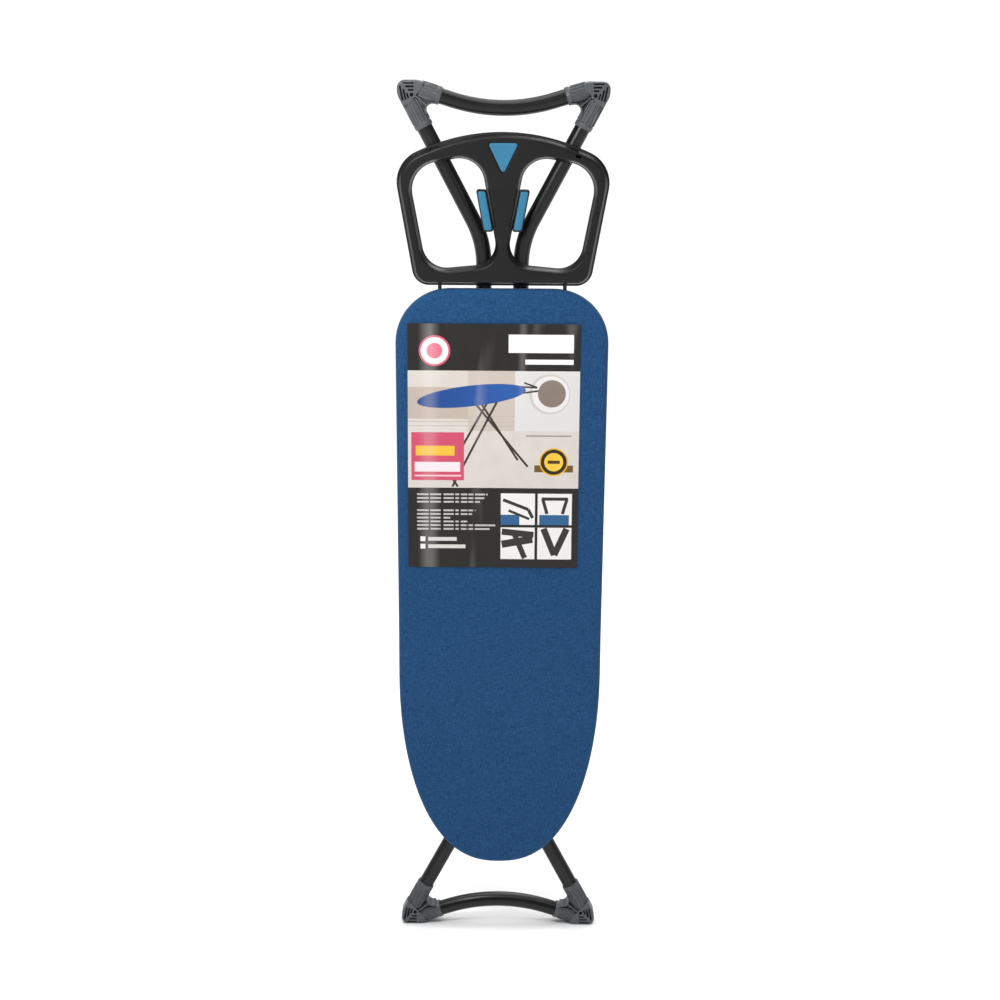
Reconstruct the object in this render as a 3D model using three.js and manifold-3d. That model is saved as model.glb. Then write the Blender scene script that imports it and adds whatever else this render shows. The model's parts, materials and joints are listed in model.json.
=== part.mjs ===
// A folding ironing board, folded flat and standing on its nose foot.
//
// Lengths are millimetres. In the board's own frame x runs across the board, z runs along it from
// the nose to the iron rest, and y runs through it: the ironing face looks toward -y and the two
// folded leg frames lie behind it, with their centre plane at y = 0. The whole board then leans
// back a little, so that its centre of mass stands over the soles of the nose foot.

import * as THREE from 'three';
import { mergeVertices } from 'three/addons/utils/BufferGeometryUtils.js';
import Module from 'manifold-3d';

const wasm = await Module();
wasm.setup();

// ---- Driving dimensions ----

const LEAN = THREE.MathUtils.degToRad(1.2);
const GAP = 0.3;

const NOSE_Z = 140;
const REAR_Z = 1240;
const BOARD_HALF_REAR = 190;
const BOARD_HALF_WAIST = 186.8;
const WAIST_Z = 600;
const NOSE_LENGTH = 380;
const NOSE_POWER_ALONG = 2.1;
const NOSE_POWER_ACROSS = 2.4;
const REAR_CORNER_RADIUS = 98;

const COVER_FACE_Y = -38.6;
const COVER_CLOTH = 1.6;
const COVER_BACK_Y = -14;
const HEM_WIDTH = 26;
const PAD_FRONT_Y = -36.7;
const PAD_BACK_Y = -32.5;
const MESH_FRONT_Y = -32.2;
const MESH_BACK_Y = -31;
const RIM_FRONT_Y = -30.7;
const RIM_BACK_Y = -16;
const RIM_INSET = 2.2;
const RIM_WALL = 2;
const RIM_FLANGE = 12;

const TUBE_R = 14;
const TUBE_WALL = 1;
const TUBE_SIDES = 12;
const LEG_BEND_R = 170;
const OUTER_X = 66;
const INNER_X = 33;
const PIVOT_Z = 1070;
const SCISSOR_ARM = 271;
const SCISSOR_Z = PIVOT_Z - SCISSOR_ARM;
const SLIDER_Z = PIVOT_Z - 2 * SCISSOR_ARM;
const FOLD_MAX = THREE.MathUtils.degToRad(54);
const TUBE_OVERRUN = 8;
const CAP_DOME = 3.5;

const FOOT_CORNER_X = 177.5;
const FOOT_CORNER_Z = 6;
const REAR_CORNER_Z = 1594;
const LEG_SPLAY = THREE.MathUtils.degToRad(27.8);
const BAR_SLOPE = THREE.MathUtils.degToRad(17);
const BAR_BEND_R = 300;
const SOCKET_R = 16.6;
const BORE_PLAY = 0.8;
const LEG_SOCKET = 84;
const BAR_SOCKET = 71;
const SOCKET_BLIND = 38;
const HEEL_HALF = 15.5;

const BOLT_R = 4;
const BOLT_HOLE_R = 4.6;
const RACK_X = 15;
const RACK_WALL = 2;
const RACK_BACK_Y = 9;
const RACK_BASE_Y = -21.7;
const SLOT_HALF = 4.6;

const LEVER_Y = -16.9;
const LEVER_Z = 790;
const LEVER_R = 2.5;
const LEVER_GRIP_X = 140;

const REST_FRONT_Y = -36;
const REST_BACK_Y = -16;
const REST_WALL = 2.6;
const WIRE_R = 3.5;
const WIRE_Y = -21.5;
const WIRE_X = 111;

const CARD_WIDTH = 308;
const CARD_HEIGHT = 451;
const CARD_THICK = 0.5;
const CARD_X = -14;
const CARD_Z = 953.5;

const SHEET_THICK = 1.6;
const NOSE_BAR_Z = 330;
const LOWER_BAR_Z = 512;
const MIDDLE_BAR_Z = 780;
const REAR_BAR_Z = 1150;
const OUTER_BRACE_Z = 300;
const INNER_BRACE_Z = 1180;
const BRACE_R = 4;
const BRACKET_HALF = 11;
const BRACKET_LEAF = 2.4;
const SIDE_PLAY = 0.4;
const NUT_THICK = 4;
const NUT_R = 6.9;
const BOLT_HEAD_R = 7;

// ---- Materials ----

function finish(color, roughness, metalness) {
  return () => new THREE.MeshStandardMaterial({ color, roughness, metalness });
}

const blackPaint = finish(0x101011, 0.28, 0.4);
const greyPlastic = finish(0x5f6266, 0.6, 0);
const blackPlastic = finish(0x2b2b2c, 0.5, 0);
const bluePlastic = finish(0x428caf, 0.5, 0);
const blueCloth = finish(0x2f5c8a, 0.9, 0);
const greyFelt = finish(0x9b9a94, 1, 0);
const bareSteel = finish(0xa8abae, 0.35, 1);
const printedCard = finish(0x8d9296, 0.25, 0);

// ---- Solids: three.js geometry in, manifold solids joined and cut, meshes out ----

function solid(geometry) {
  geometry.deleteAttribute('normal');
  geometry.deleteAttribute('uv');
  const merged = mergeVertices(geometry, 1e-4);
  const position = merged.attributes.position;
  const index = Array.from(merged.index.array);
  const a = new THREE.Vector3();
  const b = new THREE.Vector3();
  const c = new THREE.Vector3();
  const triangles = [];
  let volume = 0;
  for (let i = 0; i < index.length; i += 3) {
    const [p, q, r] = [index[i], index[i + 1], index[i + 2]];
    if (p === q || q === r || r === p) continue;
    triangles.push([p, q, r]);
    a.fromBufferAttribute(position, p);
    b.fromBufferAttribute(position, q);
    c.fromBufferAttribute(position, r);
    volume += a.dot(b.cross(c));
  }
  const outward = triangles.map(([p, q, r]) => (volume < 0 ? [p, r, q] : [p, q, r]));
  return new wasm.Manifold(new wasm.Mesh({
    numProp: 3,
    vertProperties: new Float32Array(position.array),
    triVerts: new Uint32Array(outward.flat()),
  }));
}

function join(...solids) {
  return solids.reduce((whole, next) => whole.add(next));
}

function meshOf(name, body, material) {
  const { vertProperties, triVerts } = body.getMesh();
  const geometry = new THREE.BufferGeometry();
  geometry.setAttribute('position', new THREE.BufferAttribute(new Float32Array(vertProperties), 3));
  geometry.setIndex(new THREE.BufferAttribute(new Uint32Array(triVerts), 1));
  geometry.computeVertexNormals();
  const mesh = new THREE.Mesh(geometry, material());
  mesh.name = name;
  return mesh;
}

const board = new THREE.Group();

function place(name, body, material) {
  board.add(meshOf(name, body, material));
}

function box(x0, x1, y0, y1, z0, z1) {
  const geometry = new THREE.BoxGeometry(x1 - x0, y1 - y0, z1 - z0);
  return solid(geometry.translate((x0 + x1) / 2, (y0 + y1) / 2, (z0 + z1) / 2));
}

// A round bar between two points.
function bar(from, to, r0, r1 = r0, sides = 12) {
  const axis = new THREE.Vector3().subVectors(to, from);
  const geometry = new THREE.CylinderGeometry(r1, r0, axis.length(), sides);
  const turn = new THREE.Quaternion().setFromUnitVectors(new THREE.Vector3(0, 1, 0), axis.normalize());
  geometry.applyQuaternion(turn);
  const middle = new THREE.Vector3().addVectors(from, to).multiplyScalar(0.5);
  return solid(geometry.translate(middle.x, middle.y, middle.z));
}

function barAcross(x0, x1, y, z, r, sides = 12) {
  return bar(new THREE.Vector3(x0, y, z), new THREE.Vector3(x1, y, z), r, r, sides);
}

// A flat outline drawn in x and z, given thickness from y0 to y1.
function plateXZ(shape, y0, y1, options = {}) {
  const geometry = new THREE.ExtrudeGeometry(shape, { depth: y1 - y0, bevelEnabled: false, ...options });
  return solid(geometry.rotateX(Math.PI / 2).translate(0, y1, 0));
}

// A flat outline drawn in y and z, given thickness from x0 to x1.
function plateYZ(shape, x0, x1) {
  const geometry = new THREE.ExtrudeGeometry(shape, { depth: x1 - x0, bevelEnabled: false });
  const turn = new THREE.Matrix4().makeBasis(
    new THREE.Vector3(0, 1, 0), new THREE.Vector3(0, 0, 1), new THREE.Vector3(1, 0, 0));
  return solid(geometry.applyMatrix4(turn).translate(x0, 0, 0));
}

// ---- Outlines ----

// A closed loop through corners [x, z, radius], each corner rounded by an arc.
function roundedLoop(corners, segments = 6) {
  const points = [];
  corners.forEach(([x, z, radius], i) => {
    const here = new THREE.Vector2(x, z);
    const before = corners[(i + corners.length - 1) % corners.length];
    const after = corners[(i + 1) % corners.length];
    const back = new THREE.Vector2(before[0] - x, before[1] - z).normalize();
    const ahead = new THREE.Vector2(after[0] - x, after[1] - z).normalize();
    const half = Math.acos(THREE.MathUtils.clamp(back.dot(ahead), -1, 1)) / 2;
    const bisector = back.clone().add(ahead).normalize();
    const centre = here.clone().addScaledVector(bisector, radius / Math.sin(half));
    const start = here.clone().addScaledVector(back, radius / Math.tan(half)).sub(centre);
    const end = here.clone().addScaledVector(ahead, radius / Math.tan(half)).sub(centre);
    const sweep = Math.atan2(start.cross(end), start.dot(end));
    for (let s = 0; s <= segments; s += 1) {
      points.push(start.clone().rotateAround(new THREE.Vector2(), (sweep * s) / segments).add(centre));
    }
  });
  return points;
}

// Moves a closed loop inward by a distance (outward when it is negative).
function inset(points, distance) {
  const sign = THREE.ShapeUtils.isClockWise(points) ? -1 : 1;
  return points.map((point, i) => {
    const before = points[(i + points.length - 1) % points.length];
    const after = points[(i + 1) % points.length];
    const a = new THREE.Vector2().subVectors(point, before).normalize();
    const b = new THREE.Vector2().subVectors(after, point).normalize();
    const along = a.clone().add(b).normalize();
    const normal = new THREE.Vector2(-along.y, along.x).multiplyScalar(sign);
    return point.clone().addScaledVector(normal, distance / Math.max(0.5, along.dot(a)));
  });
}

function ring(outer, inner) {
  const shape = new THREE.Shape(outer);
  shape.holes.push(new THREE.Path(inner));
  return shape;
}

function boardHalfWidth(z) {
  const grow = (z - WAIST_Z) / (REAR_Z - REAR_CORNER_RADIUS - WAIST_Z);
  return THREE.MathUtils.lerp(BOARD_HALF_WAIST, BOARD_HALF_REAR, THREE.MathUtils.clamp(grow, 0, 1));
}

// The cover's outline: a superellipse nose, nearly parallel sides and two round rear corners.
function boardOutline() {
  const right = [];
  const noseSteps = 15;
  for (let i = 0; i <= noseSteps; i += 1) {
    const turn = (i / noseSteps) * (Math.PI / 2);
    const x = BOARD_HALF_WAIST * Math.sin(turn) ** (2 / NOSE_POWER_ACROSS);
    const z = NOSE_Z + NOSE_LENGTH * (1 - Math.cos(turn) ** (2 / NOSE_POWER_ALONG));
    right.push(new THREE.Vector2(x, z));
  }
  for (const z of [WAIST_Z, WAIST_Z + 180, WAIST_Z + 360]) {
    right.push(new THREE.Vector2(boardHalfWidth(z), z));
  }
  const cornerSteps = 8;
  for (let i = 0; i <= cornerSteps; i += 1) {
    const turn = (i / cornerSteps) * (Math.PI / 2);
    const x = BOARD_HALF_REAR - REAR_CORNER_RADIUS * (1 - Math.cos(turn));
    const z = REAR_Z - REAR_CORNER_RADIUS * (1 - Math.sin(turn));
    right.push(new THREE.Vector2(x, z));
  }
  const left = right.slice(1).reverse().map((point) => new THREE.Vector2(-point.x, point.y));
  return [...right, ...left];
}

const OUTLINE = boardOutline();

// ---- Bent tubes ----

// A path whose rings stand exactly at the given stations.
class StationPath extends THREE.Curve {
  constructor(stations) {
    super();
    this.stations = stations;
  }

  getPointAt(u) {
    return this.stations[Math.round(u * (this.stations.length - 1))].clone();
  }

  getPoint(t) {
    return this.getPointAt(t);
  }

  getTangentAt(u) {
    const i = Math.round(u * (this.stations.length - 1));
    const last = this.stations.length - 1;
    const ahead = new THREE.Vector3().subVectors(this.stations[Math.min(i + 1, last)], this.stations[i]);
    const behind = new THREE.Vector3().subVectors(this.stations[i], this.stations[Math.max(i - 1, 0)]);
    return ahead.normalize().add(behind.normalize()).normalize();
  }
}

// Stations of an open route with each inner corner [x, y, z, radius] bent round an arc.
function bentRoute(corners, bendSteps = 6) {
  const stations = [new THREE.Vector3(...corners[0].slice(0, 3))];
  for (let i = 1; i < corners.length - 1; i += 1) {
    const here = new THREE.Vector3(...corners[i].slice(0, 3));
    const radius = corners[i][3];
    const back = new THREE.Vector3(...corners[i - 1].slice(0, 3)).sub(here).normalize();
    const ahead = new THREE.Vector3(...corners[i + 1].slice(0, 3)).sub(here).normalize();
    const half = back.angleTo(ahead) / 2;
    const bisector = back.clone().add(ahead).normalize();
    const centre = here.clone().addScaledVector(bisector, radius / Math.sin(half));
    const start = here.clone().addScaledVector(back, radius / Math.tan(half)).sub(centre);
    const end = here.clone().addScaledVector(ahead, radius / Math.tan(half)).sub(centre);
    const axis = start.clone().cross(end).normalize();
    const sweep = start.angleTo(end);
    for (let s = 0; s <= bendSteps; s += 1) {
      stations.push(start.clone().applyAxisAngle(axis, (sweep * s) / bendSteps).add(centre));
    }
  }
  stations.push(new THREE.Vector3(...corners[corners.length - 1].slice(0, 3)));
  return stations;
}

function circleShape(radius, sides) {
  const points = [];
  for (let i = 0; i < sides; i += 1) {
    const turn = ((i + 0.5) / sides) * Math.PI * 2;
    points.push(new THREE.Vector2(radius * Math.cos(turn), radius * Math.sin(turn)));
  }
  return points;
}

function sweep(shape, stations) {
  const extrudePath = new StationPath(stations);
  return solid(new THREE.ExtrudeGeometry(shape, { steps: stations.length - 1, extrudePath }));
}

function tube(stations, radius = TUBE_R, wall = TUBE_WALL, sides = TUBE_SIDES) {
  return sweep(ring(circleShape(radius, sides), circleShape(radius - wall, sides)), stations);
}

function wire(stations, radius, sides = 8) {
  return sweep(new THREE.Shape(circleShape(radius, sides)), stations);
}

// ---- Board: rim, mesh, cross bars, padding and cover ----

function makeRim() {
  const outer = inset(OUTLINE, RIM_INSET);
  const wall = plateXZ(ring(outer, inset(outer, RIM_WALL)), RIM_FRONT_Y, RIM_BACK_Y);
  const flange = plateXZ(ring(outer, inset(outer, RIM_FLANGE)), RIM_BACK_Y - RIM_WALL, RIM_BACK_Y);
  let rim = join(wall, flange);
  for (const side of [-1, 1]) rim = rim.subtract(wireHole(side));
  return rim;
}

function wireHole(side) {
  const x = side * WIRE_X;
  const from = new THREE.Vector3(x, WIRE_Y, REAR_Z - 40);
  return bar(from, new THREE.Vector3(x, WIRE_Y, REAR_Z + 20), WIRE_R + 0.7);
}

// The top's sheet, pierced by rows of diamonds where it is well inside the rim.
function makeMeshPanel() {
  const sheet = new THREE.Shape(inset(OUTLINE, RIM_INSET + 1));
  const halfAcross = 25;
  const halfAlong = 48;
  const stepAcross = 66;
  const stepAlong = 62;
  for (let row = 0; row < 16; row += 1) {
    const z = NOSE_Z + 80 + row * stepAlong;
    const shift = row % 2 ? stepAcross / 2 : 0;
    for (let column = -3; column <= 3; column += 1) {
      const x = column * stepAcross + shift;
      if (!insideOutline(Math.abs(x) + halfAcross + 6, z)) continue;
      sheet.holes.push(new THREE.Path([
        new THREE.Vector2(x - halfAcross, z),
        new THREE.Vector2(x, z - halfAlong),
        new THREE.Vector2(x + halfAcross, z),
        new THREE.Vector2(x, z + halfAlong),
      ]));
    }
  }
  return plateXZ(sheet, MESH_FRONT_Y, MESH_BACK_Y);
}

function insideOutline(x, z) {
  if (z < NOSE_Z + 30 || z > REAR_Z - 45) return false;
  return x < outlineHalfAt(z - 20) && x < outlineHalfAt(z + 20);
}

// The outline's half width at a height, read off its own points.
function outlineHalfAt(z) {
  for (let i = 0; i < OUTLINE.length - 1; i += 1) {
    const [low, high] = [OUTLINE[i], OUTLINE[i + 1]];
    if (low.x < 0 || high.x < 0 || z < low.y || z > high.y) continue;
    return THREE.MathUtils.lerp(low.x, high.x, (z - low.y) / (high.y - low.y));
  }
  return 0;
}

// A pressed channel across the board, open toward the face.
function makeCrossBar(z, height, backY = RACK_BASE_Y - GAP) {
  const wall = SHEET_THICK;
  const half = Math.min(outlineHalfAt(z - height / 2), outlineHalfAt(z + height / 2));
  const reach = half - RIM_INSET - RIM_WALL - 0.6;
  const outside = box(-reach, reach, RIM_FRONT_Y, backY, z - height / 2, z + height / 2);
  const low = z - height / 2 + wall;
  const high = z + height / 2 - wall;
  return outside.subtract(box(-reach - 1, reach + 1, RIM_FRONT_Y - 1, backY - wall, low, high));
}

function makeRearCrossBar() {
  let whole = makeCrossBar(REAR_BAR_Z, 18, RIM_BACK_Y - RIM_WALL - GAP);
  for (const side of [-1, 1]) {
    const x = side * WIRE_X;
    whole = whole.subtract(bar(
      new THREE.Vector3(x, WIRE_Y, REAR_BAR_Z - 50),
      new THREE.Vector3(x, WIRE_Y, REAR_BAR_Z + 50), WIRE_R + 0.7));
  }
  return whole;
}

function makeCover() {
  const outside = plateXZ(new THREE.Shape(OUTLINE), COVER_FACE_Y, COVER_BACK_Y);
  const pocket = new THREE.Shape(inset(OUTLINE, COVER_CLOTH));
  const mouth = new THREE.Shape(inset(OUTLINE, HEM_WIDTH));
  let cover = outside
    .subtract(plateXZ(pocket, COVER_FACE_Y + COVER_CLOTH, COVER_BACK_Y - COVER_CLOTH))
    .subtract(plateXZ(mouth, COVER_BACK_Y - 3, COVER_BACK_Y + 1));
  for (const side of [-1, 1]) cover = cover.subtract(wireHole(side));
  return cover;
}

function makeCard() {
  const geometry = new THREE.BoxGeometry(CARD_WIDTH, CARD_THICK, CARD_HEIGHT);
  return solid(geometry.translate(CARD_X, COVER_FACE_Y - GAP - CARD_THICK / 2, CARD_Z));
}

place('rim_frame', makeRim(), blackPaint);
place('mesh_panel', makeMeshPanel(), blackPaint);
place('nose_cross_bar', makeCrossBar(NOSE_BAR_Z, 20), blackPaint);
place('lower_cross_bar', makeCrossBar(LOWER_BAR_Z, 22), blackPaint);
place('middle_cross_bar', makeCrossBar(MIDDLE_BAR_Z, 22), blackPaint);
place('upper_cross_bar', makeCrossBar(PIVOT_Z, 26), blackPaint);
place('rear_cross_bar', makeRearCrossBar(), blackPaint);
place('felt_pad', plateXZ(new THREE.Shape(inset(OUTLINE, RIM_INSET)), PAD_FRONT_Y, PAD_BACK_Y), greyFelt);
place('cover', makeCover(), blueCloth);
place('label_card', makeCard(), printedCard);

// ---- Leg frames ----

const legTurn = Math.tan(LEG_SPLAY);

// Stations of one leg tube: from its inner end, along the board, then splayed out to the foot.
function legStations(side, x, endZ, cornerZ, footward) {
  const bendZ = cornerZ - footward * (FOOT_CORNER_X - x) / legTurn;
  const stop = SOCKET_BLIND;
  const tipX = FOOT_CORNER_X - stop * Math.sin(LEG_SPLAY);
  const tipZ = cornerZ - footward * stop * Math.cos(LEG_SPLAY);
  return bentRoute([
    [side * x, 0, endZ],
    [side * x, 0, bendZ, LEG_BEND_R],
    [side * tipX, 0, tipZ],
  ], 5);
}

function crossHole(x, z, radius = BOLT_HOLE_R) {
  return barAcross(x - 20, x + 20, 0, z, radius);
}

function footBarStations(cornerZ, footward) {
  const rise = FOOT_CORNER_X * Math.tan(BAR_SLOPE);
  const stop = SOCKET_BLIND;
  const tipX = FOOT_CORNER_X - stop * Math.cos(BAR_SLOPE);
  const tipZ = cornerZ - footward * stop * Math.sin(BAR_SLOPE);
  return bentRoute([
    [-tipX, 0, tipZ],
    [0, 0, cornerZ - footward * rise, BAR_BEND_R],
    [tipX, 0, tipZ],
  ], 8);
}

// Outline of the elbow's heel in x and z, for a corner at the origin with the foot pointing down.
function heelShape() {
  const barX = Math.cos(BAR_SLOPE);
  const barZ = Math.sin(BAR_SLOPE);
  const legX = Math.sin(LEG_SPLAY);
  const legZ = Math.cos(LEG_SPLAY);
  return new THREE.Shape(roundedLoop([
    [-8, -FOOT_CORNER_Z, 12],
    [26, -FOOT_CORNER_Z, 14],
    [48 * barX + HEEL_HALF * barZ, 48 * barZ - HEEL_HALF * barX, 3],
    [36, 30, 6],
    [44 * legX - HEEL_HALF * legZ, 44 * legZ + HEEL_HALF * legX, 3],
    [-8, 18, 30],
  ], 3));
}

// The web that fills the crotch between the two sockets, with a round inner edge.
function crotchShape() {
  const barX = Math.cos(BAR_SLOPE);
  const barZ = Math.sin(BAR_SLOPE);
  const legX = Math.sin(LEG_SPLAY);
  const legZ = Math.cos(LEG_SPLAY);
  return new THREE.Shape(roundedLoop([
    [20, 14, 2],
    [66 * barX - 12 * barZ, 66 * barZ + 12 * barX, 1],
    [66 * barX - HEEL_HALF * barZ, 66 * barZ + HEEL_HALF * barX, 0.5],
    [31.1, 25.7, 11.5],
    [74 * legX + HEEL_HALF * legZ, 74 * legZ - HEEL_HALF * legX, 0.5],
    [74 * legX + 12 * legZ, 74 * legZ - 12 * legX, 1],
  ], 5));
}

// One plastic elbow, modelled for the left end of the nose foot.
function elbow() {
  const corner = new THREE.Vector3();
  const leg = new THREE.Vector3(Math.sin(LEG_SPLAY), 0, Math.cos(LEG_SPLAY));
  const along = new THREE.Vector3(Math.cos(BAR_SLOPE), 0, Math.sin(BAR_SLOPE));
  const at = (direction, distance) => corner.clone().addScaledVector(direction, distance);
  const edge = 2;
  const heel = plateXZ(heelShape(), edge - HEEL_HALF, HEEL_HALF - edge, {
    bevelEnabled: true, bevelThickness: edge, bevelSize: edge, bevelOffset: -edge, bevelSegments: 1,
  });
  const sleeve = (way, length) => bar(at(way, 24), at(way, length), SOCKET_R, SOCKET_R - 0.8, 16);
  const bore = (way, length) => bar(
    at(way, SOCKET_BLIND - 0.5), at(way, length + 5), TUBE_R + BORE_PLAY, TUBE_R + BORE_PLAY, TUBE_SIDES);
  const web = plateXZ(crotchShape(), -9, 9);
  const belowSole = box(-60, 120, -40, 40, -60, -FOOT_CORNER_Z);
  return join(heel, sleeve(leg, LEG_SOCKET), sleeve(along, BAR_SOCKET), web)
    .subtract(join(bore(leg, LEG_SOCKET), bore(along, BAR_SOCKET)))
    .subtract(belowSole);
}

const ELBOW = elbow();

// The elbow at one end of a foot. Its sole is cut level for the leaning board.
function placedElbow(side, cornerZ, footward) {
  let body = ELBOW;
  if (side > 0) body = body.mirror([1, 0, 0]);
  if (footward > 0) body = body.mirror([0, 0, 1]);
  body = body.translate([side * FOOT_CORNER_X, 0, cornerZ]);
  if (footward < 0) body = body.subtract(groundBlock());
  return body;
}

// Everything below the floor, in the board's own leaning frame.
function groundBlock() {
  const geometry = new THREE.BoxGeometry(600, 200, 40).translate(0, 0, -20).rotateX(LEAN);
  return solid(geometry.translate(0, 0, 0.35));
}

// A round-nosed plug for a tube's open end.
function tubeCap(x, z, direction) {
  const plugR = TUBE_R - TUBE_WALL - 0.9;
  const profile = [[0, -3], [plugR, -3], [plugR, 0], [TUBE_R - 0.2, 0]];
  profile.push([TUBE_R - 1.4, 2.2], [TUBE_R - 5, CAP_DOME], [0, CAP_DOME]);
  const points = profile.map(([radius, height]) => new THREE.Vector2(radius, height));
  const geometry = new THREE.LatheGeometry(points, 14).rotateX(direction * Math.PI / 2);
  return solid(geometry.translate(x, 0, z));
}

function bolt(from, to, y, z, headR, headLength) {
  const head = Math.sign(to - from);
  const shaft = barAcross(from, to, y, z, BOLT_R);
  const cap = bar(
    new THREE.Vector3(to, y, z), new THREE.Vector3(to + head * headLength, y, z), headR, headR * 0.62);
  return join(shaft, cap);
}

function washer(x0, x1, y, z, outerR, innerR, sides = 14) {
  const beyond = Math.sign(x1 - x0);
  const across = barAcross(x0, x1, y, z, outerR, sides);
  return across.subtract(barAcross(x0 - beyond, x1 + beyond, y, z, innerR));
}

function makeOuterLeg() {
  const top = PIVOT_Z + TUBE_OVERRUN;
  for (const side of [-1, 1]) {
    const name = side < 0 ? 'left' : 'right';
    const x = side * OUTER_X;
    const pipe = tube(legStations(side, OUTER_X, top, FOOT_CORNER_Z, -1))
      .subtract(crossHole(x, PIVOT_Z))
      .subtract(crossHole(x, SCISSOR_Z));
    place(`outer_tube_${name}`, pipe, blackPaint);
    place(`nose_corner_${name}`, placedElbow(side, FOOT_CORNER_Z, -1), greyPlastic);
    place(`outer_cap_${name}`, tubeCap(x, top + GAP, 1), blackPlastic);
    const inner = side * (INNER_X - TUBE_R - SIDE_PLAY);
    const outer = side * (OUTER_X + TUBE_R + SIDE_PLAY);
    const tip = inner - side * (NUT_THICK + SIDE_PLAY);
    place(`scissor_bolt_${name}`, bolt(tip, outer, 0, SCISSOR_Z, BOLT_HEAD_R, 4), bareSteel);
    const nut = washer(inner - side * 0.1, tip, 0, SCISSOR_Z, NUT_R, BOLT_R + SIDE_PLAY, 6);
    place(`scissor_nut_${name}`, nut, bareSteel);
    const gapFrom = side * (INNER_X + TUBE_R + SIDE_PLAY);
    const gapTo = side * (OUTER_X - TUBE_R - SIDE_PLAY);
    const spacer = washer(gapFrom, gapTo, 0, SCISSOR_Z, 8, BOLT_R + SIDE_PLAY);
    place(`scissor_spacer_${name}`, spacer, blackPlastic);
  }
  place('nose_foot_bar', tube(footBarStations(FOOT_CORNER_Z, -1)), blackPaint);
  const braceEnd = OUTER_X - TUBE_R - 0.2;
  place('outer_brace', barAcross(-braceEnd, braceEnd, 0, OUTER_BRACE_Z, BRACE_R), blackPaint);
}

function makeInnerLeg() {
  const bottom = SLIDER_Z - TUBE_OVERRUN;
  for (const side of [-1, 1]) {
    const name = side < 0 ? 'left' : 'right';
    const x = side * INNER_X;
    const pipe = tube(legStations(side, INNER_X, bottom, REAR_CORNER_Z, 1))
      .subtract(crossHole(x, SLIDER_Z))
      .subtract(crossHole(x, SCISSOR_Z));
    place(`inner_tube_${name}`, pipe, blackPaint);
    place(`rear_corner_${name}`, placedElbow(side, REAR_CORNER_Z, 1), greyPlastic);
    place(`inner_cap_${name}`, tubeCap(x, bottom - GAP, -1), blackPlastic);
    const from = side * (RACK_X + 0.5);
    const to = side * (INNER_X - TUBE_R - SIDE_PLAY);
    place(`rack_roller_${name}`, washer(from, to, 0, SLIDER_Z, 7, BOLT_R + SIDE_PLAY), blackPlastic);
  }
  place('rear_foot_bar', tube(footBarStations(REAR_CORNER_Z, 1)), blackPaint);
  const braceEnd = INNER_X - TUBE_R - 0.2;
  place('inner_brace', barAcross(-braceEnd, braceEnd, 0, INNER_BRACE_Z, BRACE_R), blackPaint);
  const rodEnd = INNER_X + TUBE_R + 1.4;
  place('sliding_rod', barAcross(-rodEnd, rodEnd, 0, SLIDER_Z, BOLT_R), bareSteel);
}

makeOuterLeg();
makeInnerLeg();

// ---- Pivot brackets and the slotted rack ----

// An angle bracket: a foot on the cross bar and a leaf standing back from it, drilled for a bolt or rod.
function angleBracket({ x, side, foot, z, backY, hole }) {
  const outside = x + side * BRACKET_LEAF;
  const [x0, x1] = [Math.min(x, outside), Math.max(x, outside)];
  const [footFrom, footTo] = [Math.min(x, x + side * foot), Math.max(x, x + side * foot)];
  const body = join(
    box(x0, x1, RACK_BASE_Y, backY, z - BRACKET_HALF, z + BRACKET_HALF),
    box(footFrom, footTo, RACK_BASE_Y, RACK_BASE_Y + 2, z - BRACKET_HALF, z + BRACKET_HALF),
  );
  return body.subtract(barAcross(x0 - 3, x1 + 3, hole.y, hole.z, hole.radius));
}

// A U-shaped channel with one long slot in each wall.
function makeRack() {
  const low = SLIDER_Z - 24;
  const high = 788;
  const topOfSlot = PIVOT_Z - 2 * SCISSOR_ARM * Math.cos(FOLD_MAX) + SLOT_HALF + 1.5;
  const wall = new THREE.Shape(roundedLoop([
    [RACK_BASE_Y, low, 3], [RACK_BACK_Y, low, 9], [RACK_BACK_Y, high - 12, 9], [RACK_BASE_Y, high, 3],
  ], 4));
  const slot = roundedLoop([
    [-SLOT_HALF, SLIDER_Z - SLOT_HALF - 1.5, SLOT_HALF - 0.05],
    [SLOT_HALF, SLIDER_Z - SLOT_HALF - 1.5, SLOT_HALF - 0.05],
    [SLOT_HALF, topOfSlot, SLOT_HALF - 0.05],
    [-SLOT_HALF, topOfSlot, SLOT_HALF - 0.05],
  ], 4);
  wall.holes.push(new THREE.Path(slot));
  return join(
    box(-RACK_X, RACK_X, RACK_BASE_Y, RACK_BASE_Y + RACK_WALL, low + 3, high - 3),
    plateYZ(wall, -RACK_X, -RACK_X + RACK_WALL),
    plateYZ(wall, RACK_X - RACK_WALL, RACK_X),
  );
}

for (const side of [-1, 1]) {
  const name = side < 0 ? 'left' : 'right';
  const leafX = side * (OUTER_X + TUBE_R + 2.6);
  const hole = { y: 0, z: PIVOT_Z, radius: BOLT_HOLE_R };
  const bracket = angleBracket({ x: leafX, side, foot: 24, z: PIVOT_Z, backY: 11, hole });
  place(`pivot_bracket_${name}`, bracket, blackPaint);
  const shank = side * (OUTER_X - TUBE_R - 0.5);
  const nutSide = leafX + side * 2.7;
  const head = bar(
    new THREE.Vector3(shank, 0, PIVOT_Z), new THREE.Vector3(shank - side * 3.6, 0, PIVOT_Z), 7, 5);
  place(`pivot_bolt_${name}`, join(bolt(shank, nutSide, 0, PIVOT_Z, 7, 4.5), head), bareSteel);
}
place('height_rack', makeRack(), blackPaint);

// ---- Release lever ----

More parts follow.
